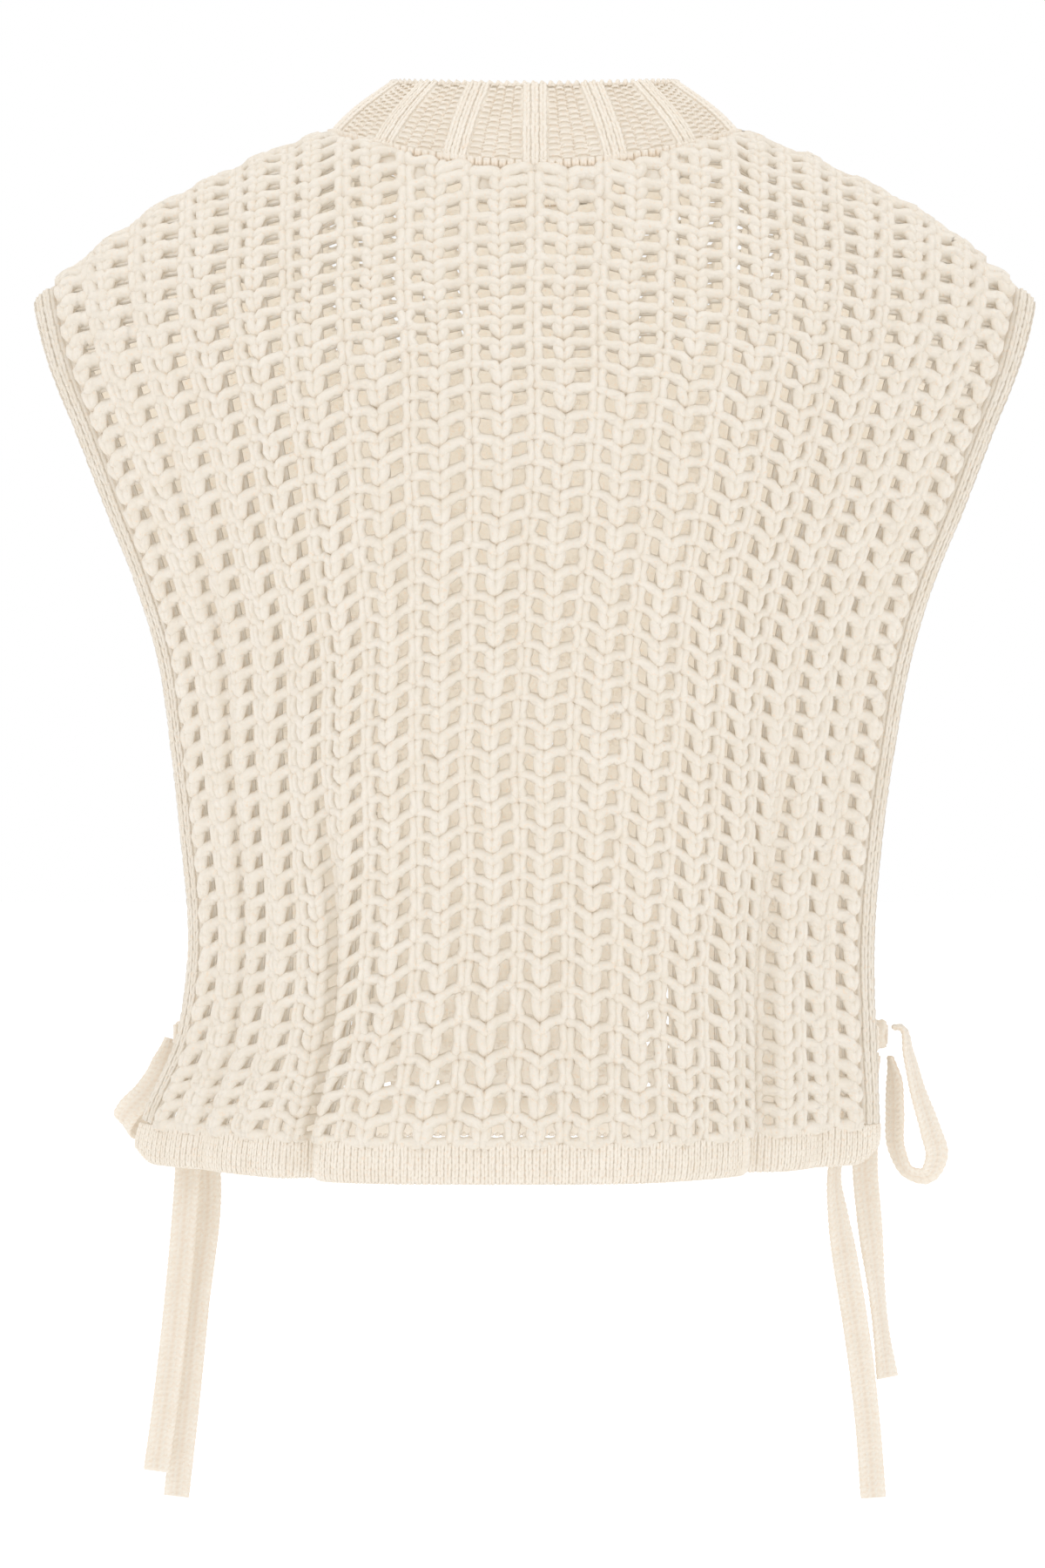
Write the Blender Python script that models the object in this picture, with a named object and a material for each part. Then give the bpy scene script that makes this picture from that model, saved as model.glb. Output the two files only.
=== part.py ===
"""Cream openwork knitted sweater vest in its worn, hollow form.

Metres, +Z up. The origin is the point between the two shoulder-neck points, the back faces -Y, the
front faces +Y, and the wearer's right is +X. Each cut or knitted piece is one closed solid:
a back and a front panel with raised vertical ridges over a plain inside, a ribbed neckband, two hem
bands, two edge bands that run from hem over shoulder to hem, and a tied bow at each side.
"""

import math

import bmesh
import bpy
import numpy as np

# Knit: a repeat is one ridge with its openwork between two others.
RIDGES = {"back": 18, "front": 16}
HALF_SPAN = {"back": 8.85, "front": 8.0}  # repeats from a panel's centre line to its side edge
RIDGE_SHIFT = {"back": 0.0, "front": -0.25}  # how far the ridges sit to one side, in repeats
RIDGE_RISE = 0.003
RIDGE_FOOT = 0.21  # where a ridge starts, as a share of one repeat from its crest
RIDGE_END = 0.4  # the share of a ridge's height that is left where it runs into the top seam
WALL = 0.004  # plain knit between the ridges
SEAM_GAP = 0.0003

# Heights.
HEM_TOP = -0.487
HEM_BOTTOM = -0.508

# Side edge bands.
BAND_WIDTH = 0.0095
BAND_THICK = 0.0046

# Neck ring, where the panels end, and the collar's top edge.
NECK_HALF_WIDTH = 0.101
NECK_SIDE_Z = -0.003
NECK_FIT = 0.0005  # between the panels' neck edge and the neckband
NECK_RING = {"back": dict(depth=0.070, drop=0.019), "front": dict(depth=0.076, drop=0.030)}
COLLAR_TOP = dict(half_width=0.0705, depth=0.0515, forward=0.004, side_z=0.0225, centre_dip=0.0035)
COLLAR_BULGE = 0.0022
COLLAR_RIBS = 14
RIB_RISE = 0.0024
RIB_CREST, RIB_FOOT = 0.14, 0.22  # where a rib's flat top and its foot end, as shares of its repeat
COLLAR_WALL = 0.0036

# Neckband levels, as shares of its height, with the ribs' and the wall's share of their full size.
COLLAR_LEVELS = [
    dict(share=0.00, rib=0.0, wall=0.9),
    dict(share=0.12, rib=0.8, wall=1.0),
    dict(share=0.50, rib=1.0, wall=1.0),
    dict(share=0.90, rib=1.0, wall=1.0),
    dict(share=1.00, rib=0.4, wall=0.7),
]

# A panel's roll from the top edge down to the hanging cloth: its height where the neck is deepest,
# what that loses at the neck's side, and what it loses on the way out to the shoulder tip.
ROLL = dict(height=0.118, neck_side=0.012, tip=0.060, reach=0.14)
# Where on the way to the side edge the flank starts to turn away, and over what share it turns.
TURN_START, TURN_SPAN = 0.08, 0.55
TURN_STEPS = 24

# Body sections, from the shoulder to the hem. left and right are the back's half widths to the
# outer edge of the bands; turn is how far a panel's flank turns away, in degrees; crowd is how much
# closer the ridges stand at the flanks; edge is the panel edge's distance from the side plane;
# drift is how far the centre ridge hangs to one side.
LEVELS = [
    dict(z=0.020, left=0.2515, right=0.2515, turn=33.0, crowd=0.05, edge=0.004, drift=0.000),
    dict(z=-0.040, left=0.2500, right=0.2500, turn=33.0, crowd=0.05, edge=0.006, drift=0.000),
    dict(z=-0.084, left=0.2452, right=0.2452, turn=34.0, crowd=0.06, edge=0.020, drift=-0.001),
    dict(z=-0.115, left=0.2362, right=0.2359, turn=36.0, crowd=0.06, edge=0.032, drift=-0.001),
    dict(z=-0.149, left=0.2227, right=0.2224, turn=38.0, crowd=0.06, edge=0.039, drift=-0.002),
    dict(z=-0.184, left=0.2094, right=0.2091, turn=40.0, crowd=0.06, edge=0.042, drift=-0.003),
    dict(z=-0.219, left=0.1959, right=0.1951, turn=42.0, crowd=0.06, edge=0.041, drift=-0.005),
    dict(z=-0.253, left=0.1855, right=0.1849, turn=43.0, crowd=0.08, edge=0.038, drift=-0.006),
    dict(z=-0.305, left=0.1781, right=0.1755, turn=45.0, crowd=0.11, edge=0.033, drift=-0.008),
    dict(z=-0.340, left=0.1745, right=0.1708, turn=45.0, crowd=0.12, edge=0.030, drift=-0.008),
    dict(z=-0.409, left=0.1710, right=0.1662, turn=45.0, crowd=0.12, edge=0.027, drift=-0.010),
    dict(z=-0.446, left=0.1768, right=0.1675, turn=45.0, crowd=0.12, edge=0.026, drift=-0.011),
    dict(z=-0.490, left=0.1945, right=0.1690, turn=44.0, crowd=0.12, edge=0.027, drift=-0.012),
    dict(z=-0.515, left=0.1975, right=0.1675, turn=43.0, crowd=0.12, edge=0.026, drift=-0.012),
]

# The shoulder line, on both sides alike.
SHOULDER = [
    dict(x=0.101, z=-0.003),
    dict(x=0.120, z=-0.009),
    dict(x=0.150, z=-0.022),
    dict(x=0.184, z=-0.039),
    dict(x=0.209, z=-0.056),
    dict(x=0.225, z=-0.068),
    dict(x=0.245, z=-0.084),
]

# Long soft vertical troughs. place is in panel half widths from the centre line, positive to +X;
# top is where one starts, grow how far down it takes to reach its full depth.
FOLDS = [
    dict(side="back", place=-0.45, top=-0.290, grow=0.150, depth=0.0120, half=0.052, pull=0.30),
    dict(side="back", place=0.65, top=-0.250, grow=0.190, depth=0.0100, half=0.060, pull=0.34),
    dict(side="back", place=-0.80, top=-0.110, grow=0.120, depth=0.0030, half=0.055, pull=0.10),
    dict(side="back", place=0.86, top=-0.130, grow=0.150, depth=0.0035, half=0.050, pull=0.10),
    dict(side="front", place=0.48, top=-0.270, grow=0.170, depth=0.0110, half=0.055, pull=0.30),
    dict(side="front", place=-0.62, top=-0.300, grow=0.140, depth=0.0095, half=0.055, pull=0.30),
    dict(side="front", place=0.84, top=-0.120, grow=0.140, depth=0.0030, half=0.055, pull=0.10),
]

# Ties: flat knitted straps.
STRAP_WIDTH = 0.0126
STRAP_THICK = 0.0026
KNOT_HALF = (0.008, 0.008, 0.008)
KNOT_CENTRE = {"left": (-0.1720, 0.0, -0.446), "right": (0.1680, 0.0, -0.446)}

# Straps' routes. lean turns a strap about its own line: 0 faces it along Y, 90 turns it edge on.
ROUTES = {
    "tie_right_loop_outer": [
        dict(x=0.1768, y=-0.0010, z=-0.4420, lean=88),
        dict(x=0.1810, y=-0.0010, z=-0.4420, lean=82),
        dict(x=0.1850, y=-0.0030, z=-0.4550, lean=66),
        dict(x=0.1895, y=-0.0040, z=-0.4730, lean=52),
        dict(x=0.1960, y=-0.0045, z=-0.4930, lean=34),
        dict(x=0.1990, y=-0.0040, z=-0.5060, lean=26),
        dict(x=0.1940, y=-0.0025, z=-0.5155, lean=44),
        dict(x=0.1855, y=-0.0010, z=-0.5140, lean=58),
        dict(x=0.1795, y=-0.0005, z=-0.5030, lean=52),
        dict(x=0.1784, y=-0.0005, z=-0.4830, lean=48),
        dict(x=0.1778, y=-0.0005, z=-0.4650, lean=60),
        dict(x=0.1760, y=-0.0005, z=-0.4562, lean=76),
    ],
    "tie_right_loop_inner": [
        dict(x=0.1590, y=0.0000, z=-0.4415, lean=90),
        dict(x=0.1555, y=0.0000, z=-0.4415, lean=90),
        dict(x=0.1480, y=0.0050, z=-0.4500, lean=84),
        dict(x=0.1430, y=0.0100, z=-0.4650, lean=78),
        dict(x=0.1415, y=0.0130, z=-0.4800, lean=76),
        dict(x=0.1460, y=0.0130, z=-0.4910, lean=78),
        dict(x=0.1515, y=0.0105, z=-0.4840, lean=82),
        dict(x=0.1530, y=0.0060, z=-0.4680, lean=86),
        dict(x=0.1545, y=0.0030, z=-0.4600, lean=90),
        dict(x=0.1552, y=0.0030, z=-0.4530, lean=90),
    ],
    "tie_right_end_long": [
        dict(x=0.1650, y=-0.0040, z=-0.4550, lean=0),
        dict(x=0.1640, y=-0.0050, z=-0.4620, lean=5),
        dict(x=0.1560, y=-0.0085, z=-0.4870, lean=35),
        dict(x=0.1480, y=-0.0110, z=-0.5130, lean=58),
        dict(x=0.1500, y=-0.0110, z=-0.5350, lean=35),
        dict(x=0.1533, y=-0.0105, z=-0.5550, lean=8),
        dict(x=0.1615, y=-0.0090, z=-0.6080, lean=5),
        dict(x=0.1653, y=-0.0080, z=-0.6420, lean=10),
        dict(x=0.1678, y=-0.0080, z=-0.6750, lean=0),
    ],
    "tie_right_end_short": [
        dict(x=0.1645, y=0.0040, z=-0.4550, lean=0),
        dict(x=0.1645, y=0.0062, z=-0.4680, lean=0),
        dict(x=0.1643, y=0.0080, z=-0.4950, lean=0),
        dict(x=0.1643, y=0.0070, z=-0.5150, lean=0),
        dict(x=0.1660, y=0.0055, z=-0.5350, lean=8),
        dict(x=0.1700, y=0.0035, z=-0.5740, lean=48),
        dict(x=0.1723, y=0.0025, z=-0.5950, lean=50),
        dict(x=0.1752, y=0.0015, z=-0.6165, lean=30),
    ],
    "tie_left_loop_outer": [
        dict(x=-0.1808, y=-0.0010, z=-0.4450, lean=0),
        dict(x=-0.1845, y=-0.0010, z=-0.4450, lean=0),
        dict(x=-0.1885, y=-0.0036, z=-0.4600, lean=0),
        dict(x=-0.1945, y=-0.0036, z=-0.4730, lean=0),
        dict(x=-0.2010, y=-0.0015, z=-0.4825, lean=0),
        dict(x=-0.2046, y=0.0035, z=-0.4895, lean=0),
        dict(x=-0.2005, y=0.0085, z=-0.4925, lean=0),
        dict(x=-0.1935, y=0.0102, z=-0.4890, lean=0),
        dict(x=-0.1885, y=0.0092, z=-0.4790, lean=0),
        dict(x=-0.1860, y=0.0070, z=-0.4650, lean=0),
        dict(x=-0.1850, y=0.0050, z=-0.4535, lean=0),
    ],
    "tie_left_loop_inner": [
        dict(x=-0.1630, y=0.0000, z=-0.4415, lean=90),
        dict(x=-0.1595, y=0.0000, z=-0.4415, lean=90),
        dict(x=-0.1520, y=0.0055, z=-0.4510, lean=84),
        dict(x=-0.1470, y=0.0110, z=-0.4670, lean=78),
        dict(x=-0.1462, y=0.0140, z=-0.4810, lean=76),
        dict(x=-0.1508, y=0.0135, z=-0.4890, lean=78),
        dict(x=-0.1555, y=0.0105, z=-0.4820, lean=82),
        dict(x=-0.1570, y=0.0060, z=-0.4670, lean=86),
        dict(x=-0.1585, y=0.0030, z=-0.4600, lean=90),
        dict(x=-0.1592, y=0.0030, z=-0.4530, lean=90),
    ],
    "tie_left_end_short": [
        dict(x=-0.1690, y=-0.0040, z=-0.4550, lean=0),
        dict(x=-0.1690, y=-0.0052, z=-0.4680, lean=0),
        dict(x=-0.1705, y=-0.0070, z=-0.4950, lean=0),
        dict(x=-0.1720, y=-0.0075, z=-0.5200, lean=0),
        dict(x=-0.1775, y=-0.0075, z=-0.5820, lean=4),
        dict(x=-0.1825, y=-0.0065, z=-0.6250, lean=8),
        dict(x=-0.1875, y=-0.0060, z=-0.6620, lean=0),
    ],
    "tie_left_end_long": [
        dict(x=-0.1690, y=0.0040, z=-0.4550, lean=0),
        dict(x=-0.1675, y=0.0045, z=-0.4680, lean=0),
        dict(x=-0.1635, y=0.0040, z=-0.4950, lean=0),
        dict(x=-0.1618, y=0.0030, z=-0.5200, lean=0),
        dict(x=-0.1680, y=0.0015, z=-0.5820, lean=0),
        dict(x=-0.1728, y=0.0010, z=-0.6300, lean=6),
        dict(x=-0.1780, y=0.0005, z=-0.6756, lean=0),
    ],
}
# The left outer loop folds back on itself, so its strap keeps one direction across.
STEADY_ACROSS = {"tie_left_loop_outer": (-0.62, 0.05, 0.78)}
STEADY_AT_KNOT = (0.0, 0.0, 1.0)
STEADY_FROM = 0.2  # the share of a strap after which it has turned to its one direction

# A strap's six corners, in half widths across and half thicknesses out.
STRAP_CORNERS = [
    dict(across=-1.00, out=0.0),
    dict(across=-0.84, out=1.0),
    dict(across=0.84, out=1.0),
    dict(across=1.00, out=0.0),
    dict(across=0.84, out=-1.0),
    dict(across=-0.84, out=-1.0),
]

# An edge band's six corners: how far out across it, and its share of the thickness to each face.
BAND_CORNERS = [
    dict(across=0.00, out=0.42),
    dict(across=0.75, out=0.42),
    dict(across=1.00, out=0.15),
    dict(across=1.00, out=-0.26),
    dict(across=0.75, out=-0.58),
    dict(across=0.00, out=-0.58),
]
BAND_SEAM = 0.0005

# A hem's levels, as shares of its height, with how far the outside swells and the wall's share.
HEM_LEVELS = [
    dict(share=0.00, swell=0.0000, wall=0.45),
    dict(share=0.14, swell=0.0020, wall=0.90),
    dict(share=0.45, swell=0.0026, wall=1.00),
    dict(share=1.00, swell=0.0020, wall=1.00),
]

# How finely the solids are divided.
ROLL_FROM = 0.70
BODY_ROWS = 11
ROLL_ROWS = 7
DENSE = 70
STRAP_STEP = 0.0095
STEM_STEPS = 4
KNOT_CUTS = 3
KNOT_ROUNDING = 0.90

WOOL = dict(colour=(0.90, 0.84, 0.73, 1.0), roughness=0.92)
FINE_WOOL = dict(colour=(0.92, 0.86, 0.76, 1.0), roughness=0.90)


def smooth_column(rows, key, name, at):
    """Reads one column of a table at any height or place, on a smooth curve through its rows."""
    order = sorted(rows, key=lambda row: row[key])
    places = np.array([row[key] for row in order])
    values = np.array([row[name] for row in order])
    slopes = np.gradient(values, places)
    at = np.clip(at, places[0], places[-1])
    low = np.clip(np.searchsorted(places, at, side="right") - 1, 0, len(places) - 2)
    span = places[low + 1] - places[low]
    t = (at - places[low]) / span
    return (
        values[low] * (1 + 2 * t) * (1 - t) ** 2
        + span * slopes[low] * t * (1 - t) ** 2
        + values[low + 1] * t**2 * (3 - 2 * t)
        - span * slopes[low + 1] * t**2 * (1 - t)
    )


def ease(t):
    t = np.clip(t, 0.0, 1.0)
    return t * t * (3 - 2 * t)


def fold_pull(side, place, z):
    """Columns crowd towards each trough as it deepens."""
    pulled = place.copy()
    for fold in FOLDS:
        if fold["side"] == side:
            away = (place - fold["place"]) / (2 * fold["half"])
            grown = ease((fold["top"] - z) / fold["grow"])
            pulled = pulled - fold["pull"] * grown * (place - fold["place"]) * np.exp(-(away**2))
    return pulled


def fold_depth(side, place, z):
    depth = np.zeros_like(z)
    for fold in FOLDS:
        if fold["side"] == side:
            away = (place - fold["place"]) / fold["half"]
            depth = depth + fold["depth"] * ease((fold["top"] - z) / fold["grow"]) * np.exp(-(away**2))
    return depth


def section(side, place, z):
    """Plan section of a panel at each height: x and the depth from the side plane."""
    pulled = fold_pull(side, place, z)
    crowd = smooth_column(LEVELS, "z", "crowd", z)
    share = np.abs(pulled) * (1 + crowd) - crowd * pulled**2
    turn = np.radians(smooth_column(LEVELS, "z", "turn", z))
    steps = (np.arange(TURN_STEPS) + 0.5) / TURN_STEPS

    def run(reach):
        angle = turn[..., None] * ease((reach[..., None] * steps - TURN_START) / TURN_SPAN)
        return reach * np.cos(angle).mean(-1), reach * np.sin(angle).mean(-1)

    across, back = run(share)
    full_across, full_back = run(np.ones_like(share))
    right = smooth_column(LEVELS, "z", "right", z)
    left = smooth_column(LEVELS, "z", "left", z) if side == "back" else right
    inset = BAND_WIDTH * np.cos(turn)
    half = np.where(pulled < 0, left, right) - inset
    mean_half = (left + right) / 2 - inset
    drift = smooth_column(LEVELS, "z", "drift", z) * (1 - np.clip(pulled**2, 0, 1))
    x = np.sign(pulled) * half * across / full_across + drift
    depth = mean_half * (full_back - back) / full_across
    return x, smooth_column(LEVELS, "z", "edge", z) + depth


def top_of(side, x):
    """Height and depth of a panel's top edge: the shoulder line, or the neck ring inside it."""
    ring = NECK_RING[side]
    inside = np.clip(1 - (x / NECK_HALF_WIDTH) ** 2, 0.0, 1.0)
    height = np.where(
        np.abs(x) < NECK_HALF_WIDTH,
        NECK_SIDE_Z - ring["drop"] * inside,
        smooth_column(SHOULDER, "x", "z", np.abs(x)),
    )
    return height, ring["depth"] * np.sqrt(inside) + SEAM_GAP / 2


def columns(side, places, shares, bottom=HEM_TOP):
    """Points of a panel: one row for each share of the way from bottom edge to top edge."""
    places = np.asarray(places, float)
    z_top = np.full_like(places, -0.03)
    for _ in range(8):
        x_top = section(side, places, z_top)[0]
        z_top, y_top = top_of(side, x_top)
    squareness = np.clip(np.abs(x_top) / NECK_HALF_WIDTH, 0, 1) ** 2
    beyond = np.clip((np.abs(x_top) - NECK_HALF_WIDTH) / ROLL["reach"], 0, 1)
    roll = ROLL["height"] - ROLL["neck_side"] * squareness - ROLL["tip"] * beyond
    turn = np.linspace(0, math.pi / 2, DENSE // 2)[:, None]
    down = np.linspace(0, 1, DENSE)[1:, None]
    z = np.concatenate([z_top - roll * (1 - np.cos(turn)), z_top - roll + (bottom - z_top + roll) * down])
    drop = np.clip((z_top - z) / roll, 0, 1)
    rolled = squareness * np.sqrt(1 - (1 - drop) ** 2) + (1 - squareness) * np.sin(drop * math.pi / 2)
    wide = np.broadcast_to(places, z.shape).copy()
    x, depth = section(side, wide, z)
    facing = -1.0 if side == "back" else 1.0
    y = facing * (y_top + (depth - y_top) * rolled)
    points = np.stack([x, y, z], -1)[::-1]
    length = np.concatenate(
        [np.zeros((1, len(places))), np.cumsum(np.linalg.norm(np.diff(points, axis=0), axis=-1), 0)]
    )
    rows = np.empty((len(shares), len(places), 3))
    for column in range(len(places)):
        want = np.asarray(shares) * length[-1, column]
        for axis in range(3):
            rows[:, column, axis] = np.interp(want, length[:, column], points[:, column, axis])
    return rows


def normals_of(rows, side):
    """Unit normals of a grid of points, pointing out of the garment."""
    up = np.gradient(rows, axis=0)
    along = np.gradient(rows, axis=1)
    normal = np.cross(along, up) * (1.0 if side == "back" else -1.0)
    return normal / np.linalg.norm(normal, axis=-1, keepdims=True)


def panel_surface(side, places, shares, bottom=HEM_TOP):
    """The plain skin of a panel with its troughs pressed in, and its normals."""
    rows = columns(side, places, shares, bottom)
    normal = normals_of(rows, side)
    wide = np.broadcast_to(places, rows.shape[:2])
    rows = rows - normal * fold_depth(side, wide, rows[..., 2])[..., None]
    rows[0, :, 2] = bottom
    normal = normals_of(rows, side)
    # The lower edge is level.
    normal[0, :, 2] = 0.0
    normal[0] /= np.linalg.norm(normal[0], axis=-1, keepdims=True)
    if shares[-1] == 1:
        # Along the shoulder seam the two panels meet upright.
        normal[-1, :, 1] *= 1 - np.clip(np.abs(rows[-1, :, 0]) / NECK_HALF_WIDTH, 0, 1) ** 2
        normal[-1] /= np.linalg.norm(normal[-1], axis=-1, keepdims=True)
    return rows, normal


def material(name, look):
    made = bpy.data.materials.new(name)
    made.use_nodes = True
    shader = made.node_tree.nodes["Principled BSDF"]
    shader.inputs["Base Color"].default_value = look["colour"]
    shader.inputs["Roughness"].default_value = look["roughness"]
    shader.inputs["Metallic"].default_value = 0.0
    made.diffuse_color = look["colour"]
    return made


def add_object(name, build, look):
    """Adds the closed mesh that build leaves in a bmesh as one named object."""
    mesh = bpy.data.meshes.new(name)
    work = bmesh.new()
    build(work)
    bmesh.ops.recalc_face_normals(work, faces=work.faces)
    work.to_mesh(mesh)
    work.free()
    mesh.materials.append(look)
    mesh.shade_smooth()
    made = bpy.data.objects.new(name, mesh)
    bpy.context.scene.collection.objects.link(made)
    return made


def add_grid(work, points, ring=False):
    """Adds a grid of points with its quads, and returns its vertices row by row."""
    verts = [[work.verts.new(point) for point in row] for row in points]
    wide = len(verts[0])
    for low, high in zip(verts, verts[1:]):
        for i in range(wide if ring else wide - 1):
            j = (i + 1) % wide
            work.faces.new((low[i], low[j], high[j], high[i]))
    return verts


def stitch(work, fine, coarse, ring=False):
    """Joins a finely divided edge to a coarser one over it, whole number to one."""
    spans = len(coarse) if ring else len(coarse) - 1
    ratio = (len(fine) if ring else len(fine) - 1) // spans
    for span in range(spans):
        near, far = coarse[span], coarse[(span + 1) % len(coarse)]
        for step in range(ratio):
            a = fine[span * ratio + step]
            b = fine[(span * ratio + step + 1) % len(fine)]
            work.faces.new((a, b, near if step < ratio / 2 else far))
            if step + 1 == (ratio + 1) // 2:
                work.faces.new((near, b, far))


def wall(name, outer, inner, look, ring=False):
    """One closed wall between a finely divided outside and a coarser inside."""

    def build(work):
        out_verts = add_grid(work, outer, ring)
        in_verts = add_grid(work, inner, ring)
        for row in (0, -1):
            stitch(work, out_verts[row], in_verts[row], ring)
        if not ring:
            for column in (0, -1):
                for row in range(len(out_verts) - 1):
                    work.faces.new(
                        (
                            out_verts[row][column],
                            out_verts[row + 1][column],
                            in_verts[row + 1][column],
                            in_verts[row][column],
                        )
                    )

    return add_object(name, build, look)


def ridge_places(side):
    """Places across a panel with each one's share of the ridges' height, edge to edge."""
    places, rises = [-1.0], [0.0]
    for ridge in range(RIDGES[side]):
        crest = ridge - (RIDGES[side] - 1) / 2 + RIDGE_SHIFT[side]
        for offset, rise in ((-RIDGE_FOOT, 0.0), (0.0, 1.0), (RIDGE_FOOT, 0.0), (0.5, 0.0)):
            places.append((crest + offset) / HALF_SPAN[side])
            rises.append(rise)
    places[-1] = 1.0
    return np.array(places), np.array(rises)


def row_shares():
    """Rows stand closer where the cloth rolls over the shoulder."""
    body = np.linspace(0, ROLL_FROM, BODY_ROWS + 1)
    return np.concatenate([body, np.linspace(ROLL_FROM, 1, ROLL_ROWS + 1)[1:]])


def make_panel(side, look):
    places, rises = ridge_places(side)
    rows, normal = panel_surface(side, places, row_shares())
    height = np.full(len(rows), RIDGE_RISE)
    height[-1] *= RIDGE_END
    outer = rows + normal * (height[:, None] * rises)[..., None]
    inner = (rows - normal * WALL)[:, ::2]
    return wall(f"{side}_panel", outer, inner, look)


def across_edge(rows, sign):
    """Unit directions that lead out past a panel's side edge, square to the edge."""
    edge, next_in = (rows[:, 0], rows[:, 1]) if sign < 0 else (rows[:, -1], rows[:, -2])
    out = edge - next_in
    along = np.gradient(edge, axis=0)
    along /= np.linalg.norm(along, axis=-1, keepdims=True)
    out -= along * (out * along).sum(-1, keepdims=True)
    return edge, out / np.linalg.norm(out, axis=-1, keepdims=True)


def make_hem(side, look):
    """A plain fine band below a panel and its edge bands, round at its lower edge."""
    places = ridge_places(side)[0][::2]
    height = HEM_TOP - SEAM_GAP - HEM_BOTTOM
    deep, normal_deep = panel_surface(side, places, [0.0, 0.02], HEM_TOP - SEAM_GAP)
    foot, normal_foot = panel_surface(side, places, [0.0, 0.02], HEM_BOTTOM)
    share, swell, wall_share = (
        np.array([level[name] for level in HEM_LEVELS])[:, None, None] for name in ("share", "swell", "wall")
    )
    rows = foot[:1] * (1 - share) + deep[:1] * share
    rows[..., 2] = HEM_BOTTOM + height * share[..., 0]
    normal = normal_foot[:1] * (1 - share) + normal_deep[:1] * share
    ends = []
    for sign in (-1, 1):
        edge, out = across_edge(rows, sign)
        out[:, 2] = 0.0
        ends.append(edge + out * BAND_WIDTH)
    rows = np.concatenate([ends[0][:, None], rows, ends[1][:, None]], 1)
    normal = np.concatenate([normal[:, :1], normal, normal[:, -1:]], 1)
    return wall(f"hem_{side}", rows + normal * swell, rows - normal * WALL * wall_share, look)


def band_section(edge, out, normal):
    """Corners of an edge band's sections, starting a seam's gap past the panel edge."""
    corners = [(BAND_SEAM + BAND_WIDTH * row["across"], BAND_THICK * row["out"]) for row in BAND_CORNERS]
    return np.stack([edge + out * away + normal * up for away, up in corners], 1)


def make_edge_band(name, sign, look):
    """A strip along both panels' side edges, in one piece over the shoulder tip."""
    sections = []
    for side in ("back", "front"):
        rows, normal = panel_surface(side, ridge_places(side)[0], row_shares())
        edge, out = across_edge(rows, sign)
        rim = normal[:, 0] if sign < 0 else normal[:, -1]
        sections.append(band_section(edge, out, rim))
    back, front = sections
    over = (back[-1:] + front[-1:]) / 2
    rings = np.concatenate([back[:-1], over, front[-2::-1]])

    def build(work):
        verts = add_grid(work, rings, ring=True)
        work.faces.new(verts[0])
        work.faces.new(verts[-1])

    return add_object(name, build, look)


def collar_ring(share, steps):
    """One level of the neckband's outer face, from the neck ring to the top edge."""
    angle = np.linspace(0, 2 * math.pi, 721)
    back = np.sin(angle) < 0
    across, along = np.cos(angle), np.sin(angle)
    base_depth = np.where(back, NECK_RING["back"]["depth"], NECK_RING["front"]["depth"]) - NECK_FIT
    drop = np.where(back, NECK_RING["back"]["drop"], NECK_RING["front"]["drop"])
    base = np.stack(
        [
            (NECK_HALF_WIDTH - NECK_FIT) * across,
            base_depth * along,
            NECK_SIDE_Z + 2 * NECK_FIT - drop * along**2,
        ],
        -1,
    )
    top = np.stack(
        [
            COLLAR_TOP["half_width"] * across,
            COLLAR_TOP["depth"] * along + COLLAR_TOP["forward"],
            COLLAR_TOP["side_z"] - COLLAR_TOP["centre_dip"] * along**2,
        ],
        -1,
    )
    bulge = COLLAR_BULGE * math.sin(share * math.pi)
    level = base * (1 - share) + top * share
    level[:, :2] *= 1 + bulge / COLLAR_TOP["half_width"]
    length = np.concatenate([[0], np.cumsum(np.linalg.norm(np.diff(level, axis=0), axis=-1))])
    start = length[np.argmin(np.abs(angle - 1.5 * math.pi))] / length[-1]
    want = ((steps + start) % 1.0) * length[-1]
    return np.stack([np.interp(want, length, level[:, axis]) for axis in range(3)], -1)


def make_neckband(look):
    """A ribbed stand-up collar; one rib stands at the centre back."""
    offsets = (-RIB_FOOT, -RIB_CREST, 0.0, RIB_CREST, RIB_FOOT, 0.5)
    steps = np.array([(rib + offset) / COLLAR_RIBS for rib in range(COLLAR_RIBS) for offset in offsets])
    rises = np.tile([abs(offset) <= RIB_CREST for offset in offsets], COLLAR_RIBS)
    rows = np.stack([collar_ring(level["share"], steps) for level in COLLAR_LEVELS])
    around = np.roll(rows, -1, 1) - np.roll(rows, 1, 1)
    normal = np.cross(around, np.gradient(rows, axis=0))
    normal /= np.linalg.norm(normal, axis=-1, keepdims=True)
    lift = RIB_RISE * np.array([level["rib"] for level in COLLAR_LEVELS])
    outer = rows + normal * (rises[None, :] * lift[:, None])[..., None]
    thick = COLLAR_WALL * np.array([level["wall"] for level in COLLAR_LEVELS])
    flat = normal.copy()
    flat[0, :, 2] = 0.0
    inner = (rows - flat * thick[:, None, None])[:, 1::3]
    outer = np.roll(outer, -1, 1)
    return wall("neckband", outer, inner, look, ring=True)


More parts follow.
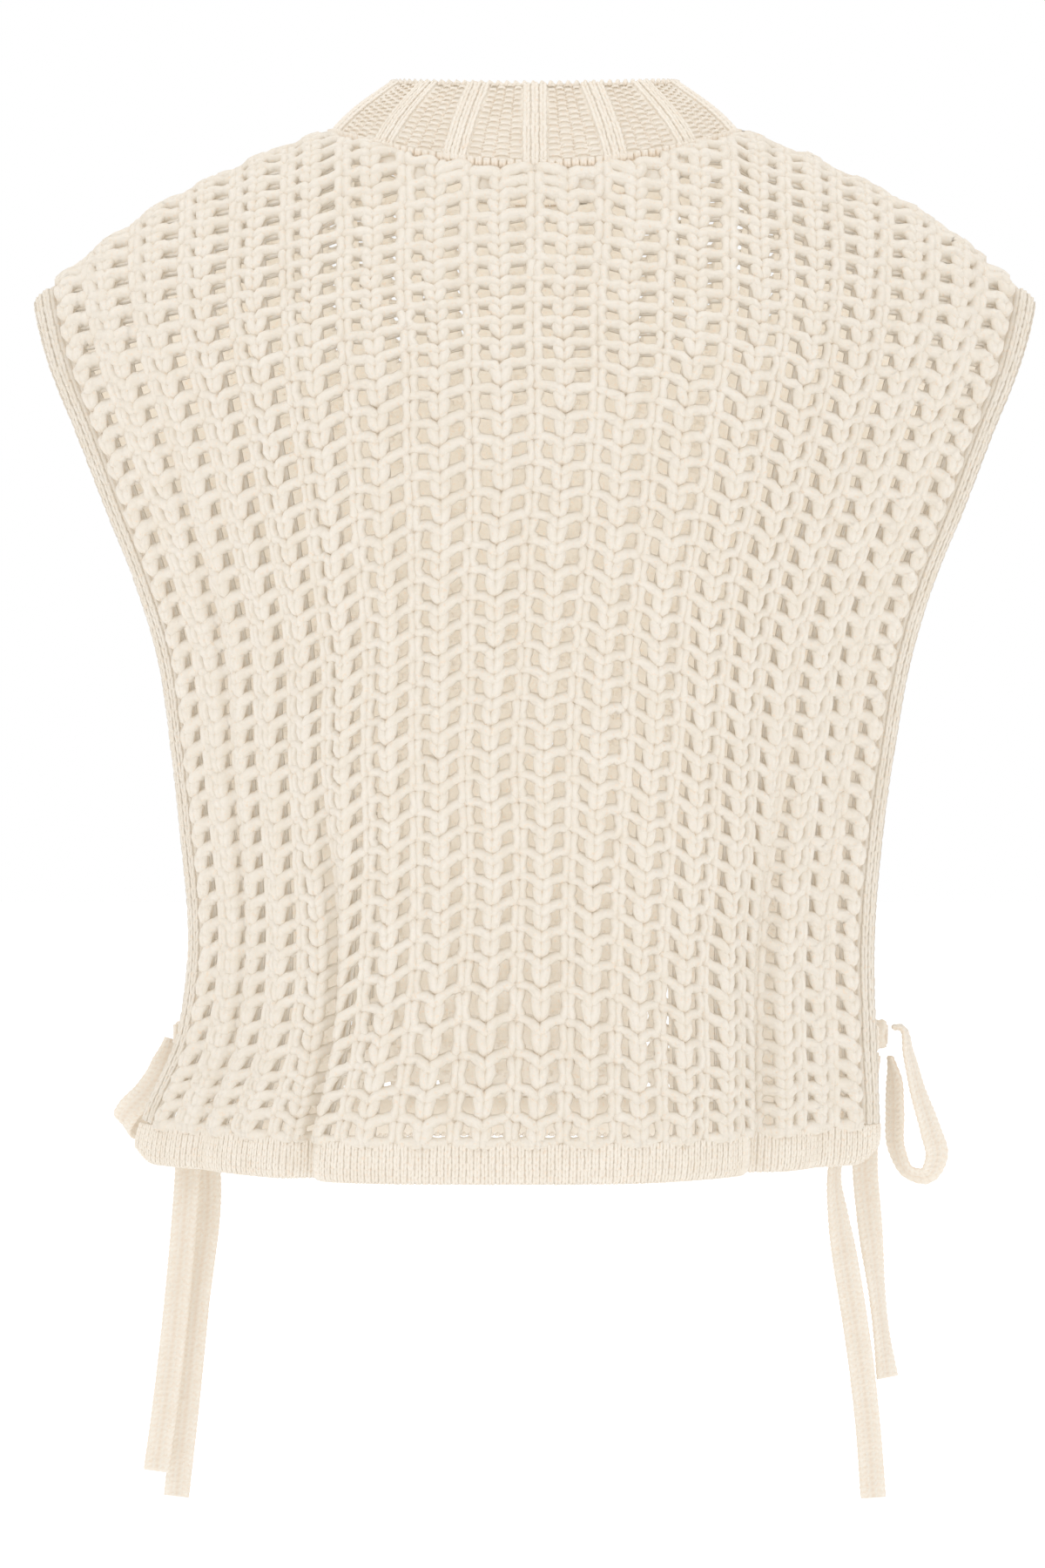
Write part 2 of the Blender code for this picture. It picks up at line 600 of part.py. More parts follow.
def smooth_route(route, step):
    """Even points, leans and directions along a curve through a route's rows."""
    knots = np.array([[row["x"], row["y"], row["z"], row["lean"]] for row in route])
    chord = np.concatenate([[0], np.cumsum(np.linalg.norm(np.diff(knots[:, :3], axis=0), axis=1))])
    slopes = np.gradient(knots, chord, axis=0)
    fine = np.linspace(0, chord[-1], 400)
    low = np.clip(np.searchsorted(chord, fine, side="right") - 1, 0, len(chord) - 2)
    span = (chord[low + 1] - chord[low])[:, None]
    t = ((fine - chord[low])[:, None]) / span
    curve = (
        knots[low] * (1 + 2 * t) * (1 - t) ** 2
        + span * slopes[low] * t * (1 - t) ** 2
        + knots[low + 1] * t**2 * (3 - 2 * t)
        - span * slopes[low + 1] * t**2 * (1 - t)
    )
    length = np.concatenate([[0], np.cumsum(np.linalg.norm(np.diff(curve[:, :3], axis=0), axis=1))])
    count = max(3, int(round(length[-1] / step)) + 1)
    want = np.linspace(0, length[-1], count)
    curve = np.concatenate([curve, np.gradient(curve[:, :3], axis=0)], 1)
    even = np.stack([np.interp(want, length, curve[:, axis]) for axis in range(7)], -1)
    return even[:, :3], even[:, 3], even[:, 4:]


def strap_rings(points, leans, along, steady=None):
    """Flat six-sided sections along a strap."""
    along = along / np.linalg.norm(along, axis=-1, keepdims=True)
    if steady is None:
        flat = np.stack([-along[:, 2], np.zeros(len(points)), along[:, 0]], -1)
        flat /= np.linalg.norm(flat, axis=-1, keepdims=True)
        lean = np.radians(leans)[:, None]
        across = np.cos(lean) * flat + np.sin(lean) * np.array([0.0, 1.0, 0.0])
    else:
        settle = ease(np.linspace(0, 1 / STEADY_FROM, len(points)))[:, None]
        across = np.array(STEADY_AT_KNOT) * (1 - settle) + np.array(steady) * settle
    across = across - along * (across * along).sum(-1, keepdims=True)
    across /= np.linalg.norm(across, axis=-1, keepdims=True)
    face = np.cross(along, across)
    half, thin = STRAP_WIDTH / 2, STRAP_THICK / 2
    return np.stack(
        [points + across * half * row["across"] + face * thin * row["out"] for row in STRAP_CORNERS], 1
    )


def make_strap(name, line, look, steady=None):
    def build(work):
        verts = add_grid(work, strap_rings(*line, steady), ring=True)
        work.faces.new(verts[0])
        work.faces.new(verts[-1])

    return add_object(name, build, look)


def make_knot(name, centre, look):
    """A square knot of flat strap, with the wrap that crosses it raised."""

    def build(work):
        bmesh.ops.create_cube(work, size=2.0)
        bmesh.ops.subdivide_edges(work, edges=work.edges[:], cuts=KNOT_CUTS, use_grid_fill=True)
        for vert in work.verts:
            on_edge = sorted(abs(value) for value in vert.co)[1] > 0.99
            rounding = KNOT_ROUNDING if on_edge else 1.0
            vert.co = [c + rounding * v * h for c, v, h in zip(centre, vert.co, KNOT_HALF)]

    return add_object(name, build, look)


def make_stem(name, side, sign, centre, look):
    """The short sewn-on stretch of a strap between an edge band and the knot."""
    rows, _ = panel_surface(side, ridge_places(side)[0], np.linspace(0, 0.30, 25))
    edge, out = across_edge(rows, sign)
    tip = edge + out * (BAND_WIDTH + 3 * SEAM_GAP)
    level = np.argmin(np.abs(tip[:, 2] - centre[2]))
    facing = -1.0 if side == "back" else 1.0
    start = tip[level] - np.array([0.0, facing * 3 * SEAM_GAP, 0.0])
    start[2] = centre[2]
    end = np.array([start[0], facing * (KNOT_HALF[1] + SEAM_GAP), centre[2]])
    points = start + (end - start) * np.linspace(0, 1, STEM_STEPS)[:, None]
    line = points, np.zeros(len(points)), np.gradient(points, axis=0)
    return make_strap(name, line, look, steady=STEADY_AT_KNOT)


def make_ties(side_name, sign, look):
    centre = KNOT_CENTRE[side_name]
    make_knot(f"tie_{side_name}_knot", centre, look)
    for side in ("back", "front"):
        make_stem(f"tie_{side_name}_stem_{side}", side, sign, centre, look)
    for name, route in ROUTES.items():
        if name.startswith(f"tie_{side_name}"):
            make_strap(name, smooth_route(route, STRAP_STEP), look, STEADY_ACROSS.get(name))


def main():
    for old in list(bpy.data.objects):
        bpy.data.objects.remove(old)
    wool = material("chunky_wool", WOOL)
    fine = material("fine_wool", FINE_WOOL)
    for side in ("back", "front"):
        make_panel(side, wool)
        make_hem(side, fine)
    make_neckband(fine)
    for side_name, sign in (("left", -1), ("right", 1)):
        make_edge_band(f"edge_band_{side_name}", sign, wool)
        make_ties(side_name, sign, fine)


main()
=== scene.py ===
"""Looks of a cream openwork knitted sweater vest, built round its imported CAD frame.

Metres, +Z up, in the frame's own axes: the back faces -Y, the front +Y, and the origin is between the
two shoulder-neck points. The cloth's form comes from the same tables and curves as the CAD solids;
on it lie the yarns of the knit, each one a closed strand of mesh.
"""

import math

import bpy
import numpy as np
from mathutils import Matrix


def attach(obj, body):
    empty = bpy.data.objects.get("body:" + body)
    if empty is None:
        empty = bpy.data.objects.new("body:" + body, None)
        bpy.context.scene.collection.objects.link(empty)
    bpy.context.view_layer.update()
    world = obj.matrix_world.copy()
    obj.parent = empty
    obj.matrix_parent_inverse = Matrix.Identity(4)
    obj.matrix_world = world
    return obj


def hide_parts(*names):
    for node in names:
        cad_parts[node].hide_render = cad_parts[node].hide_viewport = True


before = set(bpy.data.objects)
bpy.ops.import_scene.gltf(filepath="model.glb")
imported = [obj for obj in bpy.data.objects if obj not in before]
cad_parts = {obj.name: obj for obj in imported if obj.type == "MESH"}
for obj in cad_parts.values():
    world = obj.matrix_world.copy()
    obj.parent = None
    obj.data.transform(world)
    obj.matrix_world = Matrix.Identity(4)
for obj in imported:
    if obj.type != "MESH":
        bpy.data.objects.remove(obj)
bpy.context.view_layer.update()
MM = 0.001
chance = np.random.default_rng(41)
UP = np.array([0.0, 0.0, 1.0])
SIGNS = {"left": -1, "right": 1}
FACING = {"back": -1.0, "front": 1.0}


def table(names, *rows):
    """Rows with named columns."""
    return [dict(zip(names.split(), row)) for row in rows]


def column_of(rows, name):
    return np.array([row[name] for row in rows])


def unit(vectors):
    return vectors / np.maximum(np.linalg.norm(vectors, axis=-1, keepdims=True), 1e-12)


def ease(t):
    t = np.clip(t, 0.0, 1.0)
    return t * t * (3 - 2 * t)


def travelled(points):
    """How far along its line each point lies."""
    steps = np.linalg.norm(np.diff(points, axis=0), axis=-1)
    return np.concatenate([np.zeros_like(steps[:1]), np.cumsum(steps, 0)])


def risen(rows):
    """How far up a grid of points each row lies."""
    return np.concatenate([[0], np.cumsum(np.linalg.norm(np.diff(rows, axis=0), axis=-1).mean(1))])


def read_line(want, length, points):
    """A line's points at the wanted distances along it."""
    return np.stack([np.interp(want, length, values) for values in points.T], -1)


def read_grids(x, y, *grids):
    """Each grid's values between its columns, at x, and between its rows, at y."""
    column = np.minimum(x.astype(int), grids[0].shape[1] - 2)
    row = np.minimum(y.astype(int), grids[0].shape[0] - 2)
    fx, fy = (x - column)[..., None], (y - row)[..., None]
    made = []
    for grid in grids:
        low = grid[row, column] * (1 - fx) + grid[row, column + 1] * fx
        high = grid[row + 1, column] * (1 - fx) + grid[row + 1, column + 1] * fx
        made.append(low * (1 - fy) + high * fy)
    return made


def smooth_between(places, values, at):
    """Values at any places, on a smooth curve through the given ones."""
    slopes = np.gradient(values, places, axis=0)
    low = np.clip(np.searchsorted(places, at, side="right") - 1, 0, len(places) - 2)
    span = places[low + 1] - places[low]
    t = (at - places[low]) / span
    if values.ndim > 1:
        span, t = span[..., None], t[..., None]
    return (
        values[low] * (1 + 2 * t) * (1 - t) ** 2
        + span * slopes[low] * t * (1 - t) ** 2
        + values[low + 1] * t**2 * (3 - 2 * t)
        - span * slopes[low + 1] * t**2 * (1 - t)
    )


def smooth_column(rows, key, name, at):
    """Reads one column of a table at any height or place, on a smooth curve through its rows."""
    order = sorted(rows, key=lambda row: row[key])
    places = column_of(order, key)
    return smooth_between(places, column_of(order, name), np.clip(at, places[0], places[-1]))


# ---------------------------------------------------------------- the garment's form, as in the CAD

RIDGES = {"back": 18, "front": 16}
HALF_SPAN = {"back": 8.85, "front": 8.0}  # repeats from a panel's centre line to its side edge
RIDGE_SHIFT = {"back": 0.0, "front": -0.25}  # how far the ridges sit to one side, in repeats
SEAM_GAP = 0.3 * MM
NECK_FIT = 0.5 * MM  # between the panels' neck edge and the neckband
HEM_TOP = -0.487
HEM_BOTTOM = -0.508
BAND_WIDTH = 9.5 * MM
NECK_HALF_WIDTH = 0.101
NECK_SIDE_Z = -0.003
NECK_RING = {"back": dict(depth=0.070, drop=0.019), "front": dict(depth=0.076, drop=0.030)}
COLLAR_TOP = dict(half_width=0.0705, depth=0.0515, forward=0.004, side_z=0.0225, centre_dip=0.0035)
COLLAR_BULGE = 0.0022
COLLAR_RIBS = 14
ROLL = dict(height=0.118, neck_side=0.012, tip=0.060, reach=0.14)
TURN_START, TURN_SPAN, TURN_STEPS = 0.08, 0.55, 24  # where a panel rounds away to the side, in shares
DENSE = 140  # points up a column before it is read at even steps
TOP_GUESS, TOP_ROUNDS = -0.03, 8  # a column's top height is found from a first guess
RING_POINTS = 721
ROUTE_POINTS = 400

# The plan at each height: half widths left and right, the side's turn in degrees, how much the columns
# crowd towards the sides, the side edge's depth, and the drift of the centre to one side.
LEVELS = table(
    "z left right turn crowd edge drift",
    (0.020, 0.2515, 0.2515, 33.0, 0.05, 0.004, 0.000),
    (-0.040, 0.2500, 0.2500, 33.0, 0.05, 0.006, 0.000),
    (-0.084, 0.2452, 0.2452, 34.0, 0.06, 0.020, -0.001),
    (-0.115, 0.2362, 0.2359, 36.0, 0.06, 0.032, -0.001),
    (-0.149, 0.2227, 0.2224, 38.0, 0.06, 0.039, -0.002),
    (-0.184, 0.2094, 0.2091, 40.0, 0.06, 0.042, -0.003),
    (-0.219, 0.1959, 0.1951, 42.0, 0.06, 0.041, -0.005),
    (-0.253, 0.1855, 0.1849, 43.0, 0.08, 0.038, -0.006),
    (-0.305, 0.1781, 0.1755, 45.0, 0.11, 0.033, -0.008),
    (-0.340, 0.1745, 0.1708, 45.0, 0.12, 0.030, -0.008),
    (-0.409, 0.1710, 0.1662, 45.0, 0.12, 0.027, -0.010),
    (-0.446, 0.1768, 0.1675, 45.0, 0.12, 0.026, -0.011),
    (-0.490, 0.1945, 0.1690, 44.0, 0.12, 0.027, -0.012),
    (-0.515, 0.1975, 0.1675, 43.0, 0.12, 0.026, -0.012),
)
# The shoulder line.
SHOULDER = table(
    "x z",
    (0.101, -0.003),
    (0.120, -0.009),
    (0.150, -0.022),
    (0.184, -0.039),
    (0.209, -0.056),
    (0.225, -0.068),
    (0.245, -0.084),
)
# Soft vertical troughs: place is in panel half widths from the centre line, top is where one starts, and
# grow how far down it takes to reach its full depth.
FOLDS = table(
    "side place top grow depth half pull",
    ("back", -0.45, -0.290, 0.150, 0.0120, 0.052, 0.30),
    ("back", 0.65, -0.250, 0.190, 0.0100, 0.060, 0.34),
    ("back", -0.80, -0.110, 0.120, 0.0030, 0.055, 0.10),
    ("back", 0.86, -0.130, 0.150, 0.0035, 0.050, 0.10),
    ("front", 0.48, -0.270, 0.170, 0.0110, 0.055, 0.30),
    ("front", -0.62, -0.300, 0.140, 0.0095, 0.055, 0.30),
    ("front", 0.84, -0.120, 0.140, 0.0030, 0.055, 0.10),
)

STRAP_WIDTH = 12.6 * MM
STRAP_THICK = 2.6 * MM
KNOT_HALF = (0.008, 0.008, 0.008)
KNOT_CENTRE = {"left": (-0.1720, 0.0, -0.446), "right": (0.1680, 0.0, -0.446)}
# The straps' routes; lean turns a strap about its own line, from facing along Y at 0 to edge on at 90.
ROUTES = {
    "tie_right_loop_outer": table(
        "x y z lean",
        (0.1768, -0.0010, -0.4420, 88),
        (0.1810, -0.0010, -0.4420, 82),
        (0.1850, -0.0030, -0.4550, 66),
        (0.1895, -0.0040, -0.4730, 52),
        (0.1960, -0.0045, -0.4930, 34),
        (0.1990, -0.0040, -0.5060, 26),
        (0.1940, -0.0025, -0.5155, 44),
        (0.1855, -0.0010, -0.5140, 58),
        (0.1795, -0.0005, -0.5030, 52),
        (0.1784, -0.0005, -0.4830, 48),
        (0.1778, -0.0005, -0.4650, 60),
        (0.1760, -0.0005, -0.4562, 76),
    ),
    "tie_right_loop_inner": table(
        "x y z lean",
        (0.1590, 0.0000, -0.4415, 90),
        (0.1555, 0.0000, -0.4415, 90),
        (0.1480, 0.0050, -0.4500, 84),
        (0.1430, 0.0100, -0.4650, 78),
        (0.1415, 0.0130, -0.4800, 76),
        (0.1460, 0.0130, -0.4910, 78),
        (0.1515, 0.0105, -0.4840, 82),
        (0.1530, 0.0060, -0.4680, 86),
        (0.1545, 0.0030, -0.4600, 90),
        (0.1552, 0.0030, -0.4530, 90),
    ),
    "tie_right_end_long": table(
        "x y z lean",
        (0.1650, -0.0040, -0.4550, 0),
        (0.1640, -0.0050, -0.4620, 5),
        (0.1560, -0.0085, -0.4870, 35),
        (0.1480, -0.0110, -0.5130, 58),
        (0.1500, -0.0110, -0.5350, 35),
        (0.1533, -0.0105, -0.5550, 8),
        (0.1615, -0.0090, -0.6080, 5),
        (0.1653, -0.0080, -0.6420, 10),
        (0.1678, -0.0080, -0.6750, 0),
    ),
    "tie_right_end_short": table(
        "x y z lean",
        (0.1645, 0.0040, -0.4550, 0),
        (0.1645, 0.0062, -0.4680, 0),
        (0.1643, 0.0080, -0.4950, 0),
        (0.1643, 0.0070, -0.5150, 0),
        (0.1660, 0.0055, -0.5350, 8),
        (0.1700, 0.0035, -0.5740, 48),
        (0.1723, 0.0025, -0.5950, 50),
        (0.1752, 0.0015, -0.6165, 30),
    ),
    "tie_left_loop_outer": table(
        "x y z lean",
        (-0.1800, -0.0010, -0.4475, 0),
        (-0.1812, -0.0014, -0.4520, 0),
        (-0.1845, -0.0036, -0.4625, 0),
        (-0.1925, -0.0036, -0.4745, 0),
        (-0.2012, -0.0015, -0.4835, 0),
        (-0.2040, 0.0035, -0.4895, 0),
        (-0.2005, 0.0085, -0.4925, 0),
        (-0.1935, 0.0102, -0.4890, 0),
        (-0.1885, 0.0092, -0.4790, 0),
        (-0.1838, 0.0070, -0.4680, 0),
        (-0.1822, 0.0050, -0.4560, 0),
    ),
    "tie_left_loop_inner": table(
        "x y z lean",
        (-0.1630, 0.0000, -0.4415, 90),
        (-0.1595, 0.0000, -0.4415, 90),
        (-0.1520, 0.0055, -0.4510, 84),
        (-0.1470, 0.0110, -0.4670, 78),
        (-0.1462, 0.0140, -0.4810, 76),
        (-0.1508, 0.0135, -0.4890, 78),
        (-0.1555, 0.0105, -0.4820, 82),
        (-0.1570, 0.0060, -0.4670, 86),
        (-0.1585, 0.0030, -0.4600, 90),
        (-0.1592, 0.0030, -0.4530, 90),
    ),
    "tie_left_end_short": table(
        "x y z lean",
        (-0.1690, -0.0040, -0.4550, 0),
        (-0.1690, -0.0052, -0.4680, 0),
        (-0.1705, -0.0070, -0.4950, 0),
        (-0.1720, -0.0075, -0.5200, 0),
        (-0.1775, -0.0075, -0.5820, 4),
        (-0.1825, -0.0065, -0.6250, 8),
        (-0.1875, -0.0060, -0.6620, 0),
    ),
    "tie_left_end_long": table(
        "x y z lean",
        (-0.1690, 0.0040, -0.4550, 0),
        (-0.1675, 0.0045, -0.4680, 0),
        (-0.1635, 0.0040, -0.4950, 0),
        (-0.1618, 0.0030, -0.5200, 0),
        (-0.1680, 0.0015, -0.5820, 0),
        (-0.1728, 0.0010, -0.6300, 6),
        (-0.1780, 0.0005, -0.6756, 0),
    ),
}
STEADY_ACROSS = {"tie_left_loop_outer": (-0.62, 0.05, 0.78)}  # its strap keeps one direction across
STEADY_AT_KNOT = (0.0, 0.0, 1.0)
STEADY_FROM = 0.2  # the share of a strap after which it has turned to its one direction


def folds_of(side, place, z, spread):
    """Each fold of a side, how far a place is from it, and its strength there."""
    for fold in FOLDS:
        if fold["side"] == side:
            away = place - fold["place"]
            near = np.exp(-((away / (spread * fold["half"])) ** 2))
            yield fold, away, ease((fold["top"] - z) / fold["grow"]) * near


def fold_pull(side, place, z):
    """Columns crowd towards each trough as it deepens."""
    return place - sum(fold["pull"] * away * strong for fold, away, strong in folds_of(side, place, z, 2))


def fold_depth(side, place, z):
    return sum(fold["depth"] * strong for fold, _, strong in folds_of(side, place, z, 1))


def section(side, place, z):
    """Plan section of a panel at each height: x and the depth from the side plane."""
    pulled = fold_pull(side, place, z)
    crowd = smooth_column(LEVELS, "z", "crowd", z)
    share = np.abs(pulled) * (1 + crowd) - crowd * pulled**2
    turn = np.radians(smooth_column(LEVELS, "z", "turn", z))
    steps = (np.arange(TURN_STEPS) + 0.5) / TURN_STEPS

    def run(reach):
        angle = turn[..., None] * ease((reach[..., None] * steps - TURN_START) / TURN_SPAN)
        return reach * np.cos(angle).mean(-1), reach * np.sin(angle).mean(-1)

    across, back = run(share)
    full_across, full_back = run(np.ones_like(share))
    right = smooth_column(LEVELS, "z", "right", z)
    left = smooth_column(LEVELS, "z", "left", z) if side == "back" else right
    inset = BAND_WIDTH * np.cos(turn)
    half = np.where(pulled < 0, left, right) - inset
    mean_half = (left + right) / 2 - inset
    drift = smooth_column(LEVELS, "z", "drift", z) * (1 - np.clip(pulled**2, 0, 1))
    x = np.sign(pulled) * half * across / full_across + drift
    depth = mean_half * (full_back - back) / full_across
    return x, smooth_column(LEVELS, "z", "edge", z) + depth


def top_of(side, x):
    """Height and depth of a panel's top edge: the shoulder line, or the neck ring inside it."""
    ring = NECK_RING[side]
    inside = np.clip(1 - (x / NECK_HALF_WIDTH) ** 2, 0.0, 1.0)
    height = np.where(
        np.abs(x) < NECK_HALF_WIDTH,
        NECK_SIDE_Z - ring["drop"] * inside,
        smooth_column(SHOULDER, "x", "z", np.abs(x)),
    )
    return height, ring["depth"] * np.sqrt(inside) + SEAM_GAP / 2


def columns(side, places, shares, bottom=HEM_TOP):
    """Points of a panel: one row for each share of the way from bottom edge to top edge."""
    places = np.asarray(places, float)
    z_top = np.full_like(places, TOP_GUESS)
    for _ in range(TOP_ROUNDS):
        x_top = section(side, places, z_top)[0]
        z_top, y_top = top_of(side, x_top)
    squareness = np.clip(np.abs(x_top) / NECK_HALF_WIDTH, 0, 1) ** 2
    beyond = np.clip((np.abs(x_top) - NECK_HALF_WIDTH) / ROLL["reach"], 0, 1)
    roll = ROLL["height"] - ROLL["neck_side"] * squareness - ROLL["tip"] * beyond
    turn = np.linspace(0, math.pi / 2, DENSE // 2)[:, None]
    down = np.linspace(0, 1, DENSE)[1:, None]
    z = np.concatenate([z_top - roll * (1 - np.cos(turn)), z_top - roll + (bottom - z_top + roll) * down])
    drop = np.clip((z_top - z) / roll, 0, 1)
    rolled = squareness * np.sqrt(1 - (1 - drop) ** 2) + (1 - squareness) * np.sin(drop * math.pi / 2)
    wide = np.broadcast_to(places, z.shape).copy()
    x, depth = section(side, wide, z)
    y = FACING[side] * (y_top + (depth - y_top) * rolled)
    points = np.stack([x, y, z], -1)[::-1]
    length = travelled(points)
    rows = np.empty((len(shares), len(places), 3))
    for column in range(len(places)):
        want = np.asarray(shares) * length[-1, column]
        rows[:, column] = read_line(want, length[:, column], points[:, column])
    return rows


def normals_of(rows, facing):
    """Unit normals of a grid of points; facing is 1 or -1, the side they point to."""
    return unit(np.cross(np.gradient(rows, axis=1), np.gradient(rows, axis=0)) * facing)


def panel_surface(side, places, shares, bottom=HEM_TOP):
    """The plain skin of a panel with its troughs pressed in, and its normals."""
    rows = columns(side, places, shares, bottom)
    normal = normals_of(rows, -FACING[side])
    wide = np.broadcast_to(places, rows.shape[:2])
    rows = rows - normal * fold_depth(side, wide, rows[..., 2])[..., None]
    rows[0, :, 2] = bottom
    normal = normals_of(rows, -FACING[side])
    # The lower edge is level.
    normal[0, :, 2] = 0.0
    normal[0] = unit(normal[0])
    if shares[-1] == 1:
        # Along the shoulder seam the two panels meet upright.
        normal[-1, :, 1] *= 1 - np.clip(np.abs(rows[-1, :, 0]) / NECK_HALF_WIDTH, 0, 1) ** 2
        normal[-1] = unit(normal[-1])
    return rows, normal


def across_edge(rows, sign):
    """A panel's side edge, and unit directions that lead out past it, square to it."""
    edge, next_in = (rows[:, 0], rows[:, 1]) if sign < 0 else (rows[:, -1], rows[:, -2])
    out = edge - next_in
    along = unit(np.gradient(edge, axis=0))
    return edge, unit(out - along * (out * along).sum(-1, keepdims=True))


def collar_ring(share, steps):
    """One level of the neckband's outer face, from the neck ring to the top edge."""
    angle = np.linspace(0, 2 * math.pi, RING_POINTS)
    across, along = np.cos(angle), np.sin(angle)
    depth, drop = (
        np.where(along < 0, NECK_RING["back"][name], NECK_RING["front"][name]) for name in ("depth", "drop")
    )
    base_z = NECK_SIDE_Z + 2 * NECK_FIT - drop * along**2
    base = np.stack([(NECK_HALF_WIDTH - NECK_FIT) * across, (depth - NECK_FIT) * along, base_z], -1)
    top_y = COLLAR_TOP["depth"] * along + COLLAR_TOP["forward"]
    top_z = COLLAR_TOP["side_z"] - COLLAR_TOP["centre_dip"] * along**2
    top = np.stack([COLLAR_TOP["half_width"] * across, top_y, top_z], -1)
    level = base * (1 - share) + top * share
    level[:, :2] *= 1 + COLLAR_BULGE * math.sin(share * math.pi) / COLLAR_TOP["half_width"]
    length = travelled(level)
    start = length[np.argmin(np.abs(angle - 1.5 * math.pi))] / length[-1]
    return read_line(((steps + start) % 1.0) * length[-1], length, level)


def smooth_route(route, step):
    """Even points, leans and directions along a curve through a route's rows."""
    knots = np.stack([column_of(route, name) for name in ("x", "y", "z", "lean")], -1)
    chord = travelled(knots[:, :3])
    curve = smooth_between(chord, knots, np.linspace(0, chord[-1], ROUTE_POINTS))
    length = travelled(curve[:, :3])
    want = np.linspace(0, length[-1], max(3, int(round(length[-1] / step)) + 1))
    even = read_line(want, length, np.concatenate([curve, np.gradient(curve[:, :3], axis=0)], 1))
    return even[:, :3], even[:, 3], even[:, 4:]


# ---------------------------------------------------------------- view, light and floor

VIEW_TARGET = (-0.006, 0.0, -0.3215)
VIEW_DISTANCE = 3.0
VIEW_ELEVATION = 2.5  # degrees
VIEW_SENSOR = 36  # mm high
VIEW_LENS = 139.4  # mm


def set_inputs(node, values):
    for name, value in values.items():
        node.inputs[name].default_value = value


def aim(obj, at):
    away = np.array(obj.location) - np.array(at)
    yaw = math.atan2(away[0], -away[1])
    pitch = math.atan2(away[2], math.hypot(away[0], away[1]))
    obj.rotation_euler = (math.pi / 2 - pitch, 0, yaw)


def link(name, data, location=(0, 0, 0)):
    obj = bpy.data.objects.new(name, data)
    obj.location = location
    bpy.context.scene.collection.objects.link(obj)
    return obj


def make_camera():
    data = bpy.data.cameras.new("view")
    data.sensor_fit = "VERTICAL"
    data.sensor_height = VIEW_SENSOR
    data.lens = VIEW_LENS
    lift = math.radians(VIEW_ELEVATION)
    back = np.array([0, -math.cos(lift), math.sin(lift)]) * VIEW_DISTANCE
    camera = link("view", data, np.array(VIEW_TARGET) + back)
    aim(camera, VIEW_TARGET)
    bpy.context.scene.camera = camera


WHITE, COOL = (1, 1, 1), (0.90, 0.96, 1.0)
MIDDLE_OF_VEST = (0, 0, -0.3)
LAMPS = table(
    "name at towards size power colour",
    ("key", (-1.6, -2.4, 1.5), MIDDLE_OF_VEST, (1.8, 1.8), 8, WHITE),
    ("fill", (2.0, -2.0, 0.4), MIDDLE_OF_VEST, (1.8, 1.8), 3, WHITE),
    ("top", (0.0, 0.2, 1.9), MIDDLE_OF_VEST, (1.6, 1.6), 7, WHITE),
    ("behind", (0.3, 2.2, 0.4), MIDDLE_OF_VEST, (2.2, 2.2), 5, WHITE),
    # These light the front's inner face, which shows through the holes.
    ("inside", (0.0, -0.03, -0.20), (0.0, 0.2, -0.18), (0.20, 0.34), 0.12, COOL),
    ("inside_left", (-0.15, 0.0, -0.13), (-0.15, 0.09, -0.07), (0.11, 0.05), 0.022, COOL),
    ("inside_right", (0.15, 0.0, -0.13), (0.15, 0.09, -0.07), (0.11, 0.05), 0.022, COOL),
)
FLOOR_REACH, FLOOR_LEVEL = 6.0, -0.76


def make_lights():
    for row in LAMPS:
        data = bpy.data.lights.new(row["name"], "AREA")
        data.shape = "RECTANGLE"
        data.size, data.size_y = row["size"]
        data.energy = row["power"]
        data.color = row["colour"]
        aim(link(row["name"], data, row["at"]), row["towards"])
    world = bpy.data.worlds.new("studio")
    world.use_nodes = True
    set_inputs(world.node_tree.nodes["Background"], {"Color": (1, 1, 1, 1), "Strength": 1.0})
    bpy.context.scene.world = world
    bpy.context.scene.view_settings.view_transform = "Standard"


def make_floor():
    signs = ((-1, -1), (1, -1), (1, 1), (-1, 1))
    corners = [(x * FLOOR_REACH, y * FLOOR_REACH, FLOOR_LEVEL) for x, y in signs]
    mesh = bpy.data.meshes.new("floor")
    mesh.from_pydata(corners, [], [(0, 1, 2, 3)])
    look = bpy.data.materials.new("floor")
    look.use_nodes = True
    pale = {"Base Color": (0.93, 0.93, 0.93, 1), "Roughness": 1.0, "Specular IOR Level": 0.0}
    glow = {"Emission Color": (1, 1, 1, 1), "Emission Strength": 0.2}
    set_inputs(look.node_tree.nodes["Principled BSDF"], pale | glow)
    mesh.materials.append(look)
    link("floor", mesh)


# ---------------------------------------------------------------- wool

# A painted glow: the wool emits a little warm light of its own, standing in for light that soaks through
# the loose fibres and fills the hollows between the yarns.
PAINTED_GLOW_COLOUR = (1.0, 0.87, 0.68, 1)
PAINTED_GLOW_STRENGTH = 0.165
# Patches of paler wool, then specks of peach.
PATCHES = table(
    "other scale detail rough low high",
    ("pale", 90, 3, 0.6, 0.35, 0.65),
    ("peach", 520, 2, 0.7, 0.56, 0.74),
)
FIBRES = table("scale detail rough", (1.0, 4, 0.75), (0.28, 2, 0.6))
# peach is both the colour of the wool's peach specks and the painted shade in its recesses.
WOOL = table(
    "name cream pale peach roughness fibre loft",
    ("chunky_wool", (0.72, 0.665, 0.585), (0.75, 0.705, 0.64), (0.75, 0.63, 0.51), 0.95, 1500, 0.0006),
    ("fine_wool", (0.735, 0.68, 0.605), (0.765, 0.72, 0.655), (0.755, 0.64, 0.53), 0.92, 2300, 0.0003),
    ("tie_wool", (0.715, 0.67, 0.60), (0.745, 0.71, 0.65), (0.68, 0.575, 0.47), 0.92, 2300, 0.0003),
)


